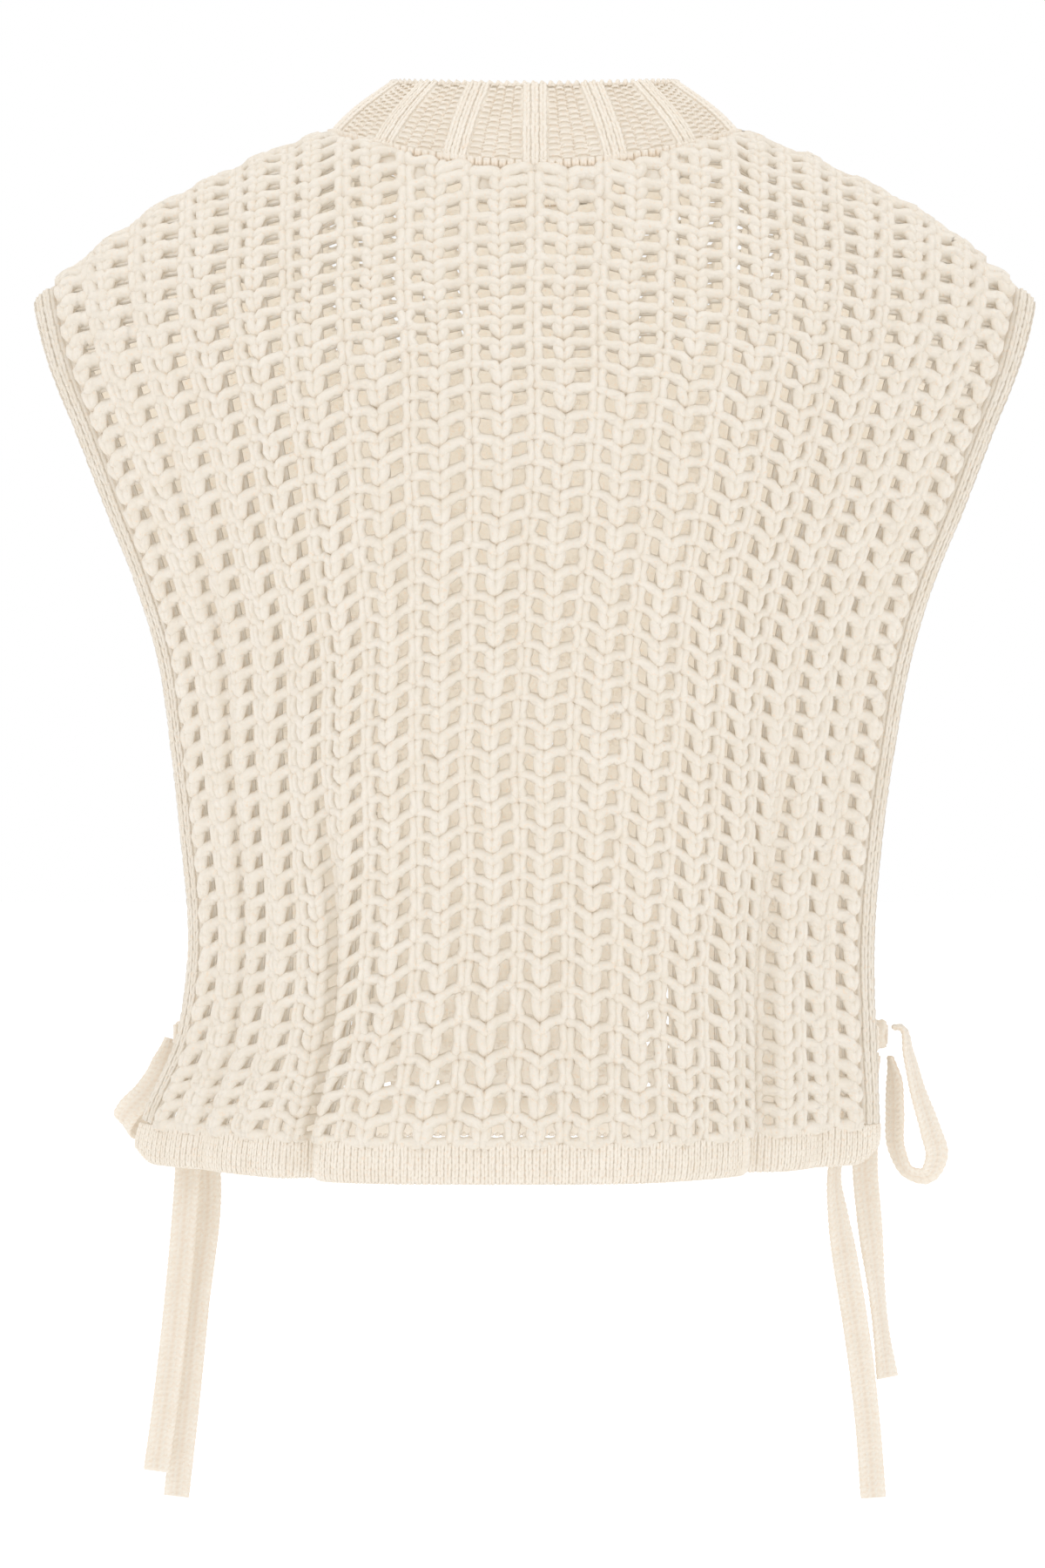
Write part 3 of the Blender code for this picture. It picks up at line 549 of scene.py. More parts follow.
def wool(row):
    """Matt wool: cream with paler and warmer patches, a painted peach shade where a yarn tucks in, a faint
    painted glow, and fine fibres.
    """
    look = bpy.data.materials.new(row["name"])
    look.use_nodes = True
    nodes, links = look.node_tree.nodes, look.node_tree.links
    shader = nodes["Principled BSDF"]
    place = nodes.new("ShaderNodeTexCoord")
    colours = {name: (*row[name], 1) for name in ("cream", "pale", "peach")}

    def noise(scale, detail, rough):
        made = nodes.new("ShaderNodeTexNoise")
        set_inputs(made, {"Scale": scale, "Detail": detail, "Roughness": rough})
        links.new(place.outputs["Object"], made.inputs["Vector"])
        return made.outputs["Fac"]

    def mix(amount, low, high):
        made = nodes.new("ShaderNodeMix")
        made.data_type = "RGBA"
        links.new(amount, made.inputs["Factor"])
        for socket, value in ((made.inputs["A"], low), (made.inputs["B"], high)):
            if isinstance(value, tuple):
                socket.default_value = value
            else:
                links.new(value, socket)
        return made.outputs["Result"]

    tint = colours["cream"]
    for patch in PATCHES:
        spread = nodes.new("ShaderNodeMapRange")
        links.new(noise(patch["scale"], patch["detail"], patch["rough"]), spread.inputs["Value"])
        set_inputs(spread, {"From Min": patch["low"], "From Max": patch["high"]})
        tint = mix(spread.outputs["Result"], tint, colours[patch["other"]])
    # Painted shade: points that lie in a recess (yarn ends tucked under, grooves between stitches) turn to
    # the darker peach.
    shade_attribute = nodes.new("ShaderNodeAttribute")
    shade_attribute.attribute_name = "tuck"
    links.new(mix(shade_attribute.outputs["Fac"], tint, colours["peach"]), shader.inputs["Base Color"])
    set_inputs(shader, {"Roughness": row["roughness"], "Specular IOR Level": 0.15})
    set_inputs(shader, {"Sheen Weight": 0.2, "Sheen Roughness": 0.6, "Sheen Tint": (1.0, 0.96, 0.90, 1)})
    # Painted glow: the wool emits warm light of its own, to lift its shaded hollows.
    set_inputs(shader, {"Emission Color": PAINTED_GLOW_COLOUR, "Emission Strength": PAINTED_GLOW_STRENGTH})
    both = nodes.new("ShaderNodeMath")
    both.operation = "ADD"
    for socket, fibre in zip(both.inputs, FIBRES):
        links.new(noise(row["fibre"] * fibre["scale"], fibre["detail"], fibre["rough"]), socket)
    bump = nodes.new("ShaderNodeBump")
    set_inputs(bump, {"Strength": 0.9, "Distance": row["loft"]})
    links.new(both.outputs["Value"], bump.inputs["Height"])
    links.new(bump.outputs["Normal"], shader.inputs["Normal"])
    return look


LOOKS = {row["name"]: wool(row) for row in WOOL}

# ---------------------------------------------------------------- meshes of yarn


def make_piece(name, parts, slot, nodes=()):
    """One object from parts, each (points, face groups, painted recess shade), riding the body and standing
    for nodes.
    """
    points = np.concatenate([part[0] for part in parts])
    tuck = np.concatenate([part[2] for part in parts])
    starts = np.cumsum([0] + [len(part[0]) for part in parts])
    groups = [group + start for part, start in zip(parts, starts) for group in part[1]]
    loops = np.concatenate([group.reshape(-1) for group in groups]).astype(np.int32)
    totals = np.concatenate([np.full(len(group), group.shape[1]) for group in groups])
    mesh = bpy.data.meshes.new(name)
    mesh.vertices.add(len(points))
    mesh.vertices.foreach_set("co", points.astype(np.float32).reshape(-1))
    mesh.loops.add(len(loops))
    mesh.loops.foreach_set("vertex_index", loops)
    mesh.polygons.add(len(totals))
    mesh.polygons.foreach_set("loop_start", np.concatenate([[0], np.cumsum(totals)[:-1]]).astype(np.int32))
    mesh.update(calc_edges=True)
    # The painted recess shade goes on each point, for the wool's colour.
    shade_attribute = mesh.attributes.new("tuck", "FLOAT", "POINT")
    shade_attribute.data.foreach_set("value", tuck.astype(np.float32))
    mesh.materials.append(LOOKS[slot])
    mesh.shade_smooth()
    piece = link(name, mesh)
    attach(piece, "root")
    if nodes:
        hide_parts(*nodes)
    return piece


def strands(paths, normals, yarn, fat, sides=6):
    """Closed yarns along paths, (yarns, points, 3), as wide and high as their table says, times fat."""
    count, length = paths.shape[:2]
    along = unit(np.gradient(paths, axis=1))
    wide = unit(np.cross(along, normals))
    high = np.cross(wide, along)
    # Each yarn point also carries its table's painted recess shade.
    across, out, tuck = (
        np.broadcast_to(column_of(yarn, name) * scale, (count, length))[..., None, None]
        for name, scale in (("wide", fat), ("high", fat), ("tuck", 1))
    )
    angle = (np.arange(sides) * 2 * math.pi / sides)[None, None, :, None]
    rings = paths[:, :, None] + wide[:, :, None] * across * np.cos(angle)
    rings = rings + high[:, :, None] * out * np.sin(angle)
    index = np.arange(count * length * sides).reshape(count, length, sides)
    near, far = index[:, :-1], index[:, 1:]
    quads = np.stack([near, far, np.roll(far, -1, 2), np.roll(near, -1, 2)], -1).reshape(-1, 4)
    caps = np.concatenate([index[:, 0], index[:, -1, ::-1]])
    return rings.reshape(-1, 3), [quads, caps], np.repeat(tuck.reshape(-1), sides)


def slab(outer, inner, keep=None, ring=False):
    """A closed sheet between two grids of points, with the cells that keep leaves out as holes."""
    high, wide = outer.shape[:2]
    index = np.arange(high * wide).reshape(high, wide)
    right = np.roll(index, -1, 1)
    cells = wide if ring else wide - 1
    corner = np.stack([index[:-1], right[:-1], right[1:], index[1:]], -1)[:, :cells]
    keep = np.ones((high - 1, cells), bool) if keep is None else keep
    shift = high * wide
    groups = [corner[keep], corner[keep][:, ::-1] + shift]
    padded = np.zeros((high + 1, cells + 2), bool)
    padded[1:-1, 1:-1] = keep
    if ring:
        padded[1:-1, 0], padded[1:-1, -1] = keep[:, -1], keep[:, 0]
    for a, b, near in (
        (0, 1, padded[:-2, 1:-1]),
        (1, 2, padded[1:-1, 2:]),
        (2, 3, padded[2:, 1:-1]),
        (3, 0, padded[1:-1, :-2]),
    ):
        rim = corner[keep & ~near]
        groups.append(np.stack([rim[:, b], rim[:, a], rim[:, a] + shift, rim[:, b] + shift], -1))
    points = np.concatenate([outer.reshape(-1, 3), inner.reshape(-1, 3)])
    return points, [group for group in groups if len(group)], np.zeros(len(points))


def used_only(part):
    """Drops the points that no face uses."""
    points, groups, tuck = part
    used = np.unique(np.concatenate([group.reshape(-1) for group in groups]))
    new = np.zeros(len(points), int)
    new[used] = np.arange(len(used))
    return points[used], [new[group] for group in groups], tuck[used]


# ---------------------------------------------------------------- the lace panels

COURSES = 45  # rows of holes; the neck and the shoulder line cut the uppermost
COURSE_PITCH = 12.35 * MM
FIRST_COURSE = 5.0 * MM
LOW_COURSES = dict(centre=17.0 * MM, by=6.0, flank=-7.0 * MM, flank_by=3.0, reach=0.65)
RIDGE_SIDE, MID_SIDE = 0.150, 0.095  # the backing's reach beside a ridge and a middle column
HOLE = {"ridge": (-0.38, 0.24), "middle": (-0.28, 0.37)}  # lower and upper edge, in courses

PLAIN_TOP = 8.0 * MM  # below the neck and shoulder seams the holes are closed
MID_OFFSET = 0.03  # repeats from half-way between two ridges to their middle column
MID_LEAN, MID_FROM, MID_SPAN = 0.07, 0.2, 0.6  # at the flanks that column lies nearer the inner ridge
FLANK_FAT, TOP_FAT = 0.34, 0.26  # how much fuller the yarns are at the flanks and at the top
FLANK_FROM, FLANK_SPAN = 0.45, 0.5  # where that starts and how far it grows, in half widths
TOP_FROM, TOP_SPAN = 0.75, 0.2  # and in shares of the way up
RIDGE_FATTEN = 0.25  # the ridges take this share of it
SEAM_PRESS, SEAM_REACH = 0.35, 14.0 * MM  # at the top seams the yarns lie flatter
# How irregular the yarns are: along their course, aside, up and down as a whole, mm outward, and in width.
LOOSE = dict(course=0.030 * 0.55, aside=0.5, lift=0.04 * 0.55, out=0.3 * 0.55, fat=0.05)
SIDE_REACH = 1.004  # a yarn may pass its panel's side edge by this little
CLOTH_ACROSS, CLOTH_UP = 361, 301  # points of a panel's surface
GROUND_OUT, GROUND_IN = -0.9 * MM, -2.9 * MM  # the ground layer's two faces, from the panel's surface
GROUND_FOOT, GROUND_TOP = -0.62, COURSES + 3.0  # in courses
WHOLE = 0.999  # a cell whose lower edge is this far up lies past the top edge
FULLER = {"back": 0.06, "front": 0.22}  # how much fuller than their tables all the yarns are
HOLE_SIZE = {"back": 0.97, "front": 0.75}
# How far the holes narrow towards the side edges, where that starts and how far it grows, in half widths.
FLANK_SHUT = {"back": 0.20, "front": 0.50}
NARROW_FROM, NARROW_SPAN = 0.42, 0.3
FLANK_SHUT_FROM = {"back": 0.58, "front": 0.48}  # past this some of them are shut
# How far they narrow towards the shoulder line, over how many metres, how fast, and how far aside.
SHOULDER_SHUT = {"back": 0.78, "front": 0.80}
SHOULDER_SHUT_REACH, SHUT_RISE = 0.125, 1.6
SHUT_FROM, SHUT_SPAN = 0.30, 0.2

# Slow wavering of the columns, in repeats.
SWAY = table(
    "reach by_course by_column",
    (0.030, 0.33, 0.9),
    (0.018, 0.81, -1.7),
)
SWAY_CALM = 1.5  # it dies down over this many repeats before the side edge

# Yarns, in repeats from their own column, courses from a hole's centre, and mm outward; the last column is
# painted shade, high at the ends that tuck under.
RIDGE_STITCH = table(
    "across up out wide high tuck",
    (0.006, -0.500, 0.8, 1.70, 1.50, 0.45),
    (0.042, -0.330, 2.4, 2.45, 1.95, 0.00),
    (0.078, -0.090, 2.5, 2.60, 2.05, 0.00),
    (0.100, 0.150, 1.6, 2.45, 1.85, 0.00),
    (0.108, 0.340, -0.7, 1.70, 1.40, 0.30),
)
BAR = table(
    "across up out wide high tuck",
    (0.004, 0.010, 0.8, 1.70, 1.50, 0.45),
    (0.042, 0.180, 2.4, 2.45, 1.95, 0.00),
    (0.096, 0.360, 2.1, 2.60, 2.05, 0.00),
    (0.170, 0.450, 0.5, 3.05, 2.20, 0.00),
    (0.280, 0.525, -0.7, 2.45, 2.05, 0.00),
    (0.385, 0.550, -0.7, 3.00, 2.10, 0.00),
    (0.520, 0.540, -1.7, 1.70, 1.50, 0.20),
)
MIDDLE = table(
    "across up out wide high tuck",
    (0.120, -0.500, -1.6, 1.60, 1.50, 0.20),
    (0.078, -0.330, -0.6, 2.50, 1.85, 0.00),
    (0.048, -0.040, 0.1, 1.95, 1.80, 0.00),
    (0.066, 0.250, -0.4, 2.40, 1.80, 0.00),
    (0.100, 0.480, -1.6, 1.60, 1.50, 0.15),
)


def sway(column, course, half_span):
    """How far a column wavers to one side; nothing at the panel's edges."""
    wave = sum(row["reach"] * np.sin(row["by_course"] * course + row["by_column"] * column) for row in SWAY)
    return wave * ease((half_span - np.abs(column)) / SWAY_CALM)


def course_height(place, course):
    """How far up its column a course lies: deep low courses at the centre, shallow at the flanks."""
    low = LOW_COURSES
    flank = ease(np.abs(place) / low["reach"])
    lift = low["centre"] * (1 - flank) * ease(course / low["by"])
    sink = low["flank"] * flank * ease(course / low["flank_by"])
    return FIRST_COURSE + COURSE_PITCH * course + lift + sink


class Cloth:
    """A panel's surface, read at any places and shares of the way up."""

    def __init__(self, side):
        self.side = side
        self.places = np.linspace(-1, 1, CLOTH_ACROSS)
        self.rows, self.normal = panel_surface(side, self.places, np.linspace(0, 1, CLOTH_UP))
        self.length = np.linalg.norm(np.diff(self.rows, axis=0), axis=-1).sum(0)

    def height(self, place):
        return np.interp(place, self.places, self.length)

    def share(self, place, course):
        """A course's share of the way up its column, which may be past the top edge."""
        return np.maximum(course_height(place, course) / self.height(place), 0)

    def room(self, place, share):
        """Metres of cloth from a share of the way up to the top edge."""
        return (1 - share) * self.height(place)

    def at(self, place, share):
        x = np.clip((place + 1) / 2, 0, 1) * (CLOTH_ACROSS - 1)
        y = np.clip(share, 0, 1) * (CLOTH_UP - 1)
        points, normal = read_grids(x, y, self.rows, self.normal)
        return points, unit(normal)


def lay(cloth, yarn, columns_at, courses, sign, top_only=False, fatten=1.0):
    """Lays one yarn at each column and course, leaning to the side that sign gives."""
    half_span = HALF_SPAN[cloth.side]
    column, course = [grid.reshape(-1, 1) for grid in np.meshgrid(columns_at, courses, indexing="ij")]
    loose = chance.normal(0, LOOSE["course"], (len(column), len(yarn)))
    column = column + sway(column, course, half_span)
    place = (column + sign * column_of(yarn, "across") + loose * LOOSE["aside"]) / half_span
    up = course + column_of(yarn, "up") + loose + chance.normal(0, LOOSE["lift"], (len(column), 1))
    share = cloth.share(place, up)
    keep = (np.median(share, 1) < 1.0) & (np.abs(place).max(1) <= SIDE_REACH)
    if top_only:
        keep &= np.median(cloth.room(place, share), 1) < PLAIN_TOP
    place, share = place[keep], np.minimum(share[keep], 1.0)
    points, normal = cloth.at(place, share)
    pressed = SEAM_PRESS + (1 - SEAM_PRESS) * ease(cloth.room(place, share) / SEAM_REACH)
    out = (column_of(yarn, "out") * pressed + chance.normal(0, LOOSE["out"], place.shape)) * MM
    fat = 1 + FULLER[cloth.side] + chance.normal(0, LOOSE["fat"], (len(place), 1))
    flank, top = (np.abs(place) - FLANK_FROM) / FLANK_SPAN, (share - TOP_FROM) / TOP_SPAN
    fat = fat + fatten * (FLANK_FAT * ease(flank) + TOP_FAT * ease(top))
    return strands(points + normal * out[..., None], normal, yarn, MM * fat)


def crests_of(side):
    return np.arange(RIDGES[side]) - (RIDGES[side] - 1) / 2 + RIDGE_SHIFT[side]


def middles_of(side):
    """The middle columns stand half-way between the ridges, nearer to the inner one at the flanks."""
    halfway = crests_of(side)[:-1] + 0.5 + MID_OFFSET
    place = halfway / HALF_SPAN[side]
    return halfway - np.sign(place) * MID_LEAN * ease((np.abs(place) - MID_FROM) / MID_SPAN)


def shut_cells(side, kinds, places):
    """At the flanks the hole beside the inner ridge is shut, and all of the front's are."""
    middle = (places[:-1] + places[1:]) / 2
    if side == "front":
        return np.abs(middle) > FLANK_SHUT_FROM["front"]
    inner = np.where(middle < 0, "middle", "ridge") == np.array(kinds[:-1])
    return (np.abs(middle) > FLANK_SHUT_FROM["back"]) & inner


def backing_columns(side):
    """Where the ground's columns stand, and whether each one lies beside a ridge or a middle column."""
    crests, middles = crests_of(side), middles_of(side)
    columns_at, kinds = [-HALF_SPAN[side]], ["ridge"]
    for index, crest in enumerate(crests):
        columns_at += [crest - RIDGE_SIDE, crest, crest + RIDGE_SIDE]
        kinds += ["ridge"] * 3
        if crest < crests[-1]:
            columns_at += [middles[index] - MID_SIDE, middles[index] + MID_SIDE]
            kinds += ["middle"] * 2
    return np.array(columns_at + [HALF_SPAN[side]]), kinds + ["ridge"]


def hole_rows(cloth, columns_at, kinds):
    """The ground's rows in courses: the lower and the upper edge of each course's holes."""
    at = columns_at / HALF_SPAN[cloth.side]
    narrow = ease((np.abs(at) - NARROW_FROM) / NARROW_SPAN)
    aside = ease((np.abs(at) - SHUT_FROM) / SHUT_SPAN)
    rows = [np.full(len(at), GROUND_FOOT)]
    for course in range(COURSES):
        high = 1 - cloth.room(at, np.minimum(cloth.share(at, course), 1.0)) / SHOULDER_SHUT_REACH
        size = HOLE_SIZE[cloth.side] * (1 - FLANK_SHUT[cloth.side] * narrow)
        size = size * (1 - SHOULDER_SHUT[cloth.side] * aside * ease(SHUT_RISE * high))
        rows += [course + size * np.array([HOLE[kind][edge] for kind in kinds]) for edge in (0, 1)]
    return np.array(rows + [np.full(len(at), GROUND_TOP)])


def make_backing(cloth):
    """The closed layer behind the yarns, with a real hole at each side of every middle column."""
    half_span = HALF_SPAN[cloth.side]
    columns_at, kinds = backing_columns(cloth.side)
    rows = hole_rows(cloth, columns_at, kinds)
    place = (columns_at + sway(columns_at, rows, half_span)) / half_span
    share = np.minimum(cloth.share(place, rows), 1.0)
    share[0], share[-1] = 0.0, 1.0
    lowest = np.minimum(share[:-1, :-1], share[:-1, 1:])
    keep = np.ones(lowest.shape, bool)
    open_cells = [i for i in range(len(kinds) - 1) if kinds[i] != kinds[i + 1]]
    room = cloth.room(place, share)
    room = np.minimum(room[:, :-1], room[:, 1:])
    shut = shut_cells(cloth.side, kinds, columns_at / half_span)
    for course in range(COURSES):
        top = room[2 * course + 2, open_cells] < PLAIN_TOP
        keep[2 * course + 1, open_cells] = top | shut[open_cells]
    keep &= lowest < WHOLE
    points, normal = cloth.at(place, share)
    return used_only(slab(points + normal * GROUND_OUT, points + normal * GROUND_IN, keep))


def make_lace(side):
    cloth = Cloth(side)
    crests, middles = crests_of(side), middles_of(side)
    backing = make_piece(f"{side}_lace_ground", [make_backing(cloth)], "chunky_wool", [f"{side}_panel"])
    courses = np.arange(-1, COURSES + 2)
    made = {"ridges": [], "bars": []}
    for sign in (-1, 1):
        made["ridges"].append(lay(cloth, RIDGE_STITCH, crests, courses, sign, fatten=RIDGE_FATTEN))
    for sign in (-1, 1):
        inner = crests[sign < 0 : len(crests) - (sign > 0)]
        made["bars"].append(lay(cloth, BAR, inner, courses, sign))
        made["bars"].append(lay(cloth, BAR, inner, courses + 0.5, sign, top_only=True))
    made["middles"] = [lay(cloth, MIDDLE, middles, courses[1:], sign) for sign in (-1, 1)]
    pieces = [
        make_piece(f"{side}_lace_{name}", parts, "chunky_wool", [f"{side}_panel"])
        for name, parts in made.items()
    ]
    return cloth


class Skin:
    """A grid of points and normals, read by metres across and metres up."""

    def __init__(self, rows, facing):
        self.rows, self.normal = rows, normals_of(rows, facing)
        self.across, self.up = travelled(rows[len(rows) // 2]), risen(rows)

    def at(self, across, up):
        x = np.interp(across, self.across, np.arange(len(self.across)))
        y = np.interp(up, self.up, np.arange(len(self.up)))
        points, normal = read_grids(x, y, self.rows, self.normal)
        return points, unit(normal)


STITCH_LOOSE = 0.03
# A plain stitch is two legs; lengths in shares of a wale's width and of a stitch's height; the last column
# is painted shade where the yarn dips in.
PLAIN_LEG = table(
    "across up out wide high tuck",
    (0.08, -0.90, -0.10, 0.17, 0.13, 0.20),
    (0.18, -0.35, 0.08, 0.27, 0.20, 0.00),
    (0.25, 0.25, 0.09, 0.28, 0.20, 0.00),
    (0.30, 0.85, -0.09, 0.18, 0.13, 0.15),
)
# A purl stitch is one low arc across its wale, with painted shade where its ends dip in.
PURL_ARC = table(
    "across up out wide high tuck",
    (-0.52, -0.22, -0.20, 0.16, 0.14, 0.50),
    (-0.26, 0.08, 0.10, 0.22, 0.20, 0.00),
    (0.26, 0.08, 0.10, 0.22, 0.20, 0.00),
    (0.52, -0.22, -0.20, 0.16, 0.14, 0.50),
)


def stitch_rows(at, wales, rows, width, height, yarn=PLAIN_LEG, signs=(-1, 1)):
    """Small stitches over a surface: at reads it, and wales and rows are their places in metres."""
    wale, row = [grid.reshape(-1, 1) for grid in np.meshgrid(wales, rows, indexing="ij")]
    made = []
    for sign in signs:
        loose = chance.normal(0, STITCH_LOOSE, (2, len(wale), 1))
        across = wale + (sign * column_of(yarn, "across") + loose[0]) * width
        up = row + (column_of(yarn, "up") + loose[1]) * height
        points, normal = at(across, up)
        points = points + normal * (column_of(yarn, "out") * width)[..., None]
        fat = width * (1 + chance.normal(0, LOOSE["fat"], (len(wale), 1)))
        made.append(strands(points, normal, yarn, fat, sides=4))
    return made


def loft(sections):
    """A closed solid through sections of points, (stations, points, 3)."""
    stations, sides = sections.shape[:2]
    index = np.arange(stations * sides).reshape(stations, sides)
    near, far = index[:-1], index[1:]
    quads = np.stack([near, np.roll(near, -1, 1), np.roll(far, -1, 1), far], -1).reshape(-1, 4)
    groups = [quads, index[:1, ::-1], index[-1:]]
    points = sections.reshape(-1, 3)
    a, b, c, d = (points[quads[:, i]] for i in range(4))
    if (np.cross(b - a, c - a) * a + np.cross(c - a, d - a) * a).sum() < 0:
        groups = [group[:, ::-1] for group in groups]
    return points, groups, np.zeros(len(points))


# ---------------------------------------------------------------- hem bands

HEM_PROFILE = table(
    "level out",
    (1.00, 0.6),
    (0.74, 1.2),
    (0.46, 1.5),
    (0.22, 1.2),
    (0.09, 0.4),
    (0.045, -0.6),
    (0.06, -1.7),
    (0.16, -2.6),
    (0.46, -3.0),
    (1.00, -3.0),
)
FINE_WALE = 3.5 * MM
FINE_STITCH = 3.1 * MM
CORNER_RISE, CORNER_REACH = 8.0 * MM, 15.0 * MM  # a hem's lower corners are rounded
HEM_ACROSS = 281
HEM_STARTS = (0.0, 0.02)  # shares of the way up; the second only gives the first its direction
HEM_ENDS = np.array([[0.35], [0.7], [1.0]])  # steps out over the edge bands' feet
HEM_FACE = 8  # rows of the profile that show from outside
HEM_CORE, BAND_CORE = 0.97, 0.92  # the cores' size under their stitches
HEM_MARGIN = dict(left=0.4, right=0.2, top=0.55, foot=0.3)  # in stitches


def hem_grid(side):
    """The hem's rows at each step of its profile, from the top of its outside round to its inside."""
    places = np.linspace(-1, 1, HEM_ACROSS)
    deep, normal_deep = panel_surface(side, places, HEM_STARTS, HEM_TOP - SEAM_GAP)
    foot, normal_foot = panel_surface(side, places, HEM_STARTS, HEM_BOTTOM)
    rows = []
    for step in HEM_PROFILE:
        level = step["level"]
        row = foot[0] * (1 - level) + deep[0] * level
        normal = normal_foot[0] * (1 - level) + normal_deep[0] * level
        for sign in (-1, 1):
            end, next_in = (0, 1) if sign < 0 else (-1, -2)
            out = unit((row[end] - row[next_in]) * (1 - UP))
            added = row[end] + out * BAND_WIDTH * HEM_ENDS
            row = np.concatenate([added[::-1], row]) if sign < 0 else np.concatenate([row, added])
            edge = np.repeat(normal[end][None], len(HEM_ENDS), 0)
            normal = np.concatenate([edge, normal]) if sign < 0 else np.concatenate([normal, edge])
        length = travelled(row)
        from_end = np.minimum(length, length[-1] - length)
        rise = CORNER_RISE * np.clip(1 - from_end / CORNER_REACH, 0, 1) ** 2
        height = HEM_TOP - SEAM_GAP - HEM_BOTTOM
        row[:, 2] = HEM_BOTTOM + rise + (height - rise) * level
        rows.append(row + normal * step["out"] * MM)
    return np.array(rows)


def make_hem(side):
    rows = hem_grid(side)
    centre = rows.mean(0)
    parts = [loft((centre + (rows - centre) * HEM_CORE).transpose(1, 0, 2))]
    skin = Skin(rows[HEM_FACE - 1 :: -1], -FACING[side])
    left, right = FINE_WALE * HEM_MARGIN["left"], skin.across[-1] - FINE_WALE * HEM_MARGIN["right"]
    top, foot = skin.up[-1] - FINE_STITCH * HEM_MARGIN["top"], FINE_STITCH * HEM_MARGIN["foot"]
    wales, courses = np.arange(left, right, FINE_WALE), np.arange(top, foot, -FINE_STITCH)
    parts += stitch_rows(skin.at, wales, courses, FINE_WALE, FINE_STITCH)
    make_piece(f"{side}_hem_band", parts, "fine_wool", [f"hem_{side}"])


# ---------------------------------------------------------------- side edge bands

BAND_PROFILE = table(
    "away out",
    (-2.5, 0.5),
    (0.0, 1.2),
    (3.0, 1.3),
    (6.2, 1.1),
    (8.6, 0.5),
    (9.3, -0.4),
    (8.8, -1.5),
    (6.2, -2.2),
    (-2.5, -2.2),
)
BAND_WALE = 4.5 * MM
BAND_STITCH = 5.2 * MM
BAND_WALES = BAND_WALE * np.array([0.5, 1.5, 2.5]) - 0.5 * MM
BAND_MARGIN = 0.3  # in stitches
BAND_FACE = slice(1, 7)  # rows of the profile that show from outside
BAND_SOFTEN = 5  # directions are evened out over this many rows each way


def over_tip(back, front):
    """One line up the back's side edge, over the shoulder tip and down the front's."""
    return np.concatenate([back[:-1], (back[-1:] + front[-1:]) / 2, front[-2::-1]])


def soften(directions):
    weights = np.hanning(2 * BAND_SOFTEN + 1) / np.hanning(2 * BAND_SOFTEN + 1).sum()
    wide = np.pad(directions, ((BAND_SOFTEN, BAND_SOFTEN), (0, 0)), mode="edge")
    return unit(np.stack([np.convolve(values, weights, "valid") for values in wide.T], -1))


def make_edge_band(side_name, cloths):
    """The strip along both panels' side edges, in one piece over the shoulder tip."""
    sign = SIGNS[side_name]
    sides = []
    for cloth in cloths.values():
        edge, out = across_edge(cloth.rows, sign)
        sides.append((edge, out, cloth.normal[:, 0] if sign < 0 else cloth.normal[:, -1]))
    edge, out, normal = (over_tip(back, front) for back, front in zip(*sides))
    out, normal = soften(out), soften(normal)
    rows = [edge + out * step["away"] * MM + normal * step["out"] * MM for step in BAND_PROFILE]
    rows = np.stack(rows, 1)
    centre = rows.mean(1, keepdims=True)
    parts = [loft(centre + (rows - centre) * BAND_CORE)]
    skin = Skin(rows[:, BAND_FACE], float(sign))
    courses = np.arange(BAND_STITCH * BAND_MARGIN, skin.up[-1] - BAND_STITCH * BAND_MARGIN, BAND_STITCH)
    parts += stitch_rows(skin.at, BAND_WALES, courses, BAND_WALE, BAND_STITCH)
    make_piece(f"{side_name}_edge_knit", parts, "chunky_wool", [f"edge_band_{side_name}"])


# ---------------------------------------------------------------- neckband

COLLAR_LEVELS = 15
COLLAR_STITCH = 3.3 * MM
RIB_WALES = 3
RIB_WALE = 3.9 * MM
RECESS_WALES = 4
RIB_LIFT = 1.7 * MM
RIB_SINK, RIB_ROUND = 0.3 * MM, 0.4 * MM  # its stitches lie this much deeper, and the outer ones more
RIB_EDGE, RIB_SLOPE = 0.42, 0.55  # where a rib's side starts, in its width, and its length in wales
RIB_STEPS = 16  # points round the neckband for each rib
COLLAR_STEPS = COLLAR_RIBS * RIB_STEPS
COLLAR_MARGIN = dict(foot=0.5, top=0.2)  # in stitches
COLLAR_OUT, COLLAR_IN = -0.5 * MM, -2.9 * MM
# Yarns over an edge. along is in stitches and level, out, up, wide and high are in mm; upright and outward
# say which way a point faces.
RIM_STITCH, SEAM_STITCH, SHOULDER_STITCH = 4.2 * MM, 3.9 * MM, 4.4 * MM
# In these three tables the last column is painted shade, high where a yarn dips in.
RIM_YARN = table(
    "along level out up upright outward wide high tuck",
    (-0.45, 0.0, 1.3, -1.2, 1.0, 1.2, 0.80, 0.80, 0.5),
    (-0.21, 0.0, 0.6, 0.9, 1.0, 0.5, 1.25, 1.25, 0.0),
    (0.21, 0.0, -2.0, 0.9, 1.0, -0.5, 1.25, 1.25, 0.0),
    (0.45, 0.0, -3.1, -1.0, 1.0, -1.2, 0.80, 0.80, 0.3),
)
SEAM_YARN = table(
    "along level out up upright outward wide high tuck",
    (-0.25, 0.0, 0.4, -1.5, 0.0, 1.0, 0.90, 0.90, 0.9),
    (-0.10, 1.6, 1.5, 0.3, 0.0, 1.0, 1.35, 1.35, 0.1),
    (0.10, 1.6, 1.5, 0.3, 0.0, 1.0, 1.35, 1.35, 0.1),
    (0.25, 0.0, 0.4, -1.5, 0.0, 1.0, 0.90, 0.90, 0.9),
)
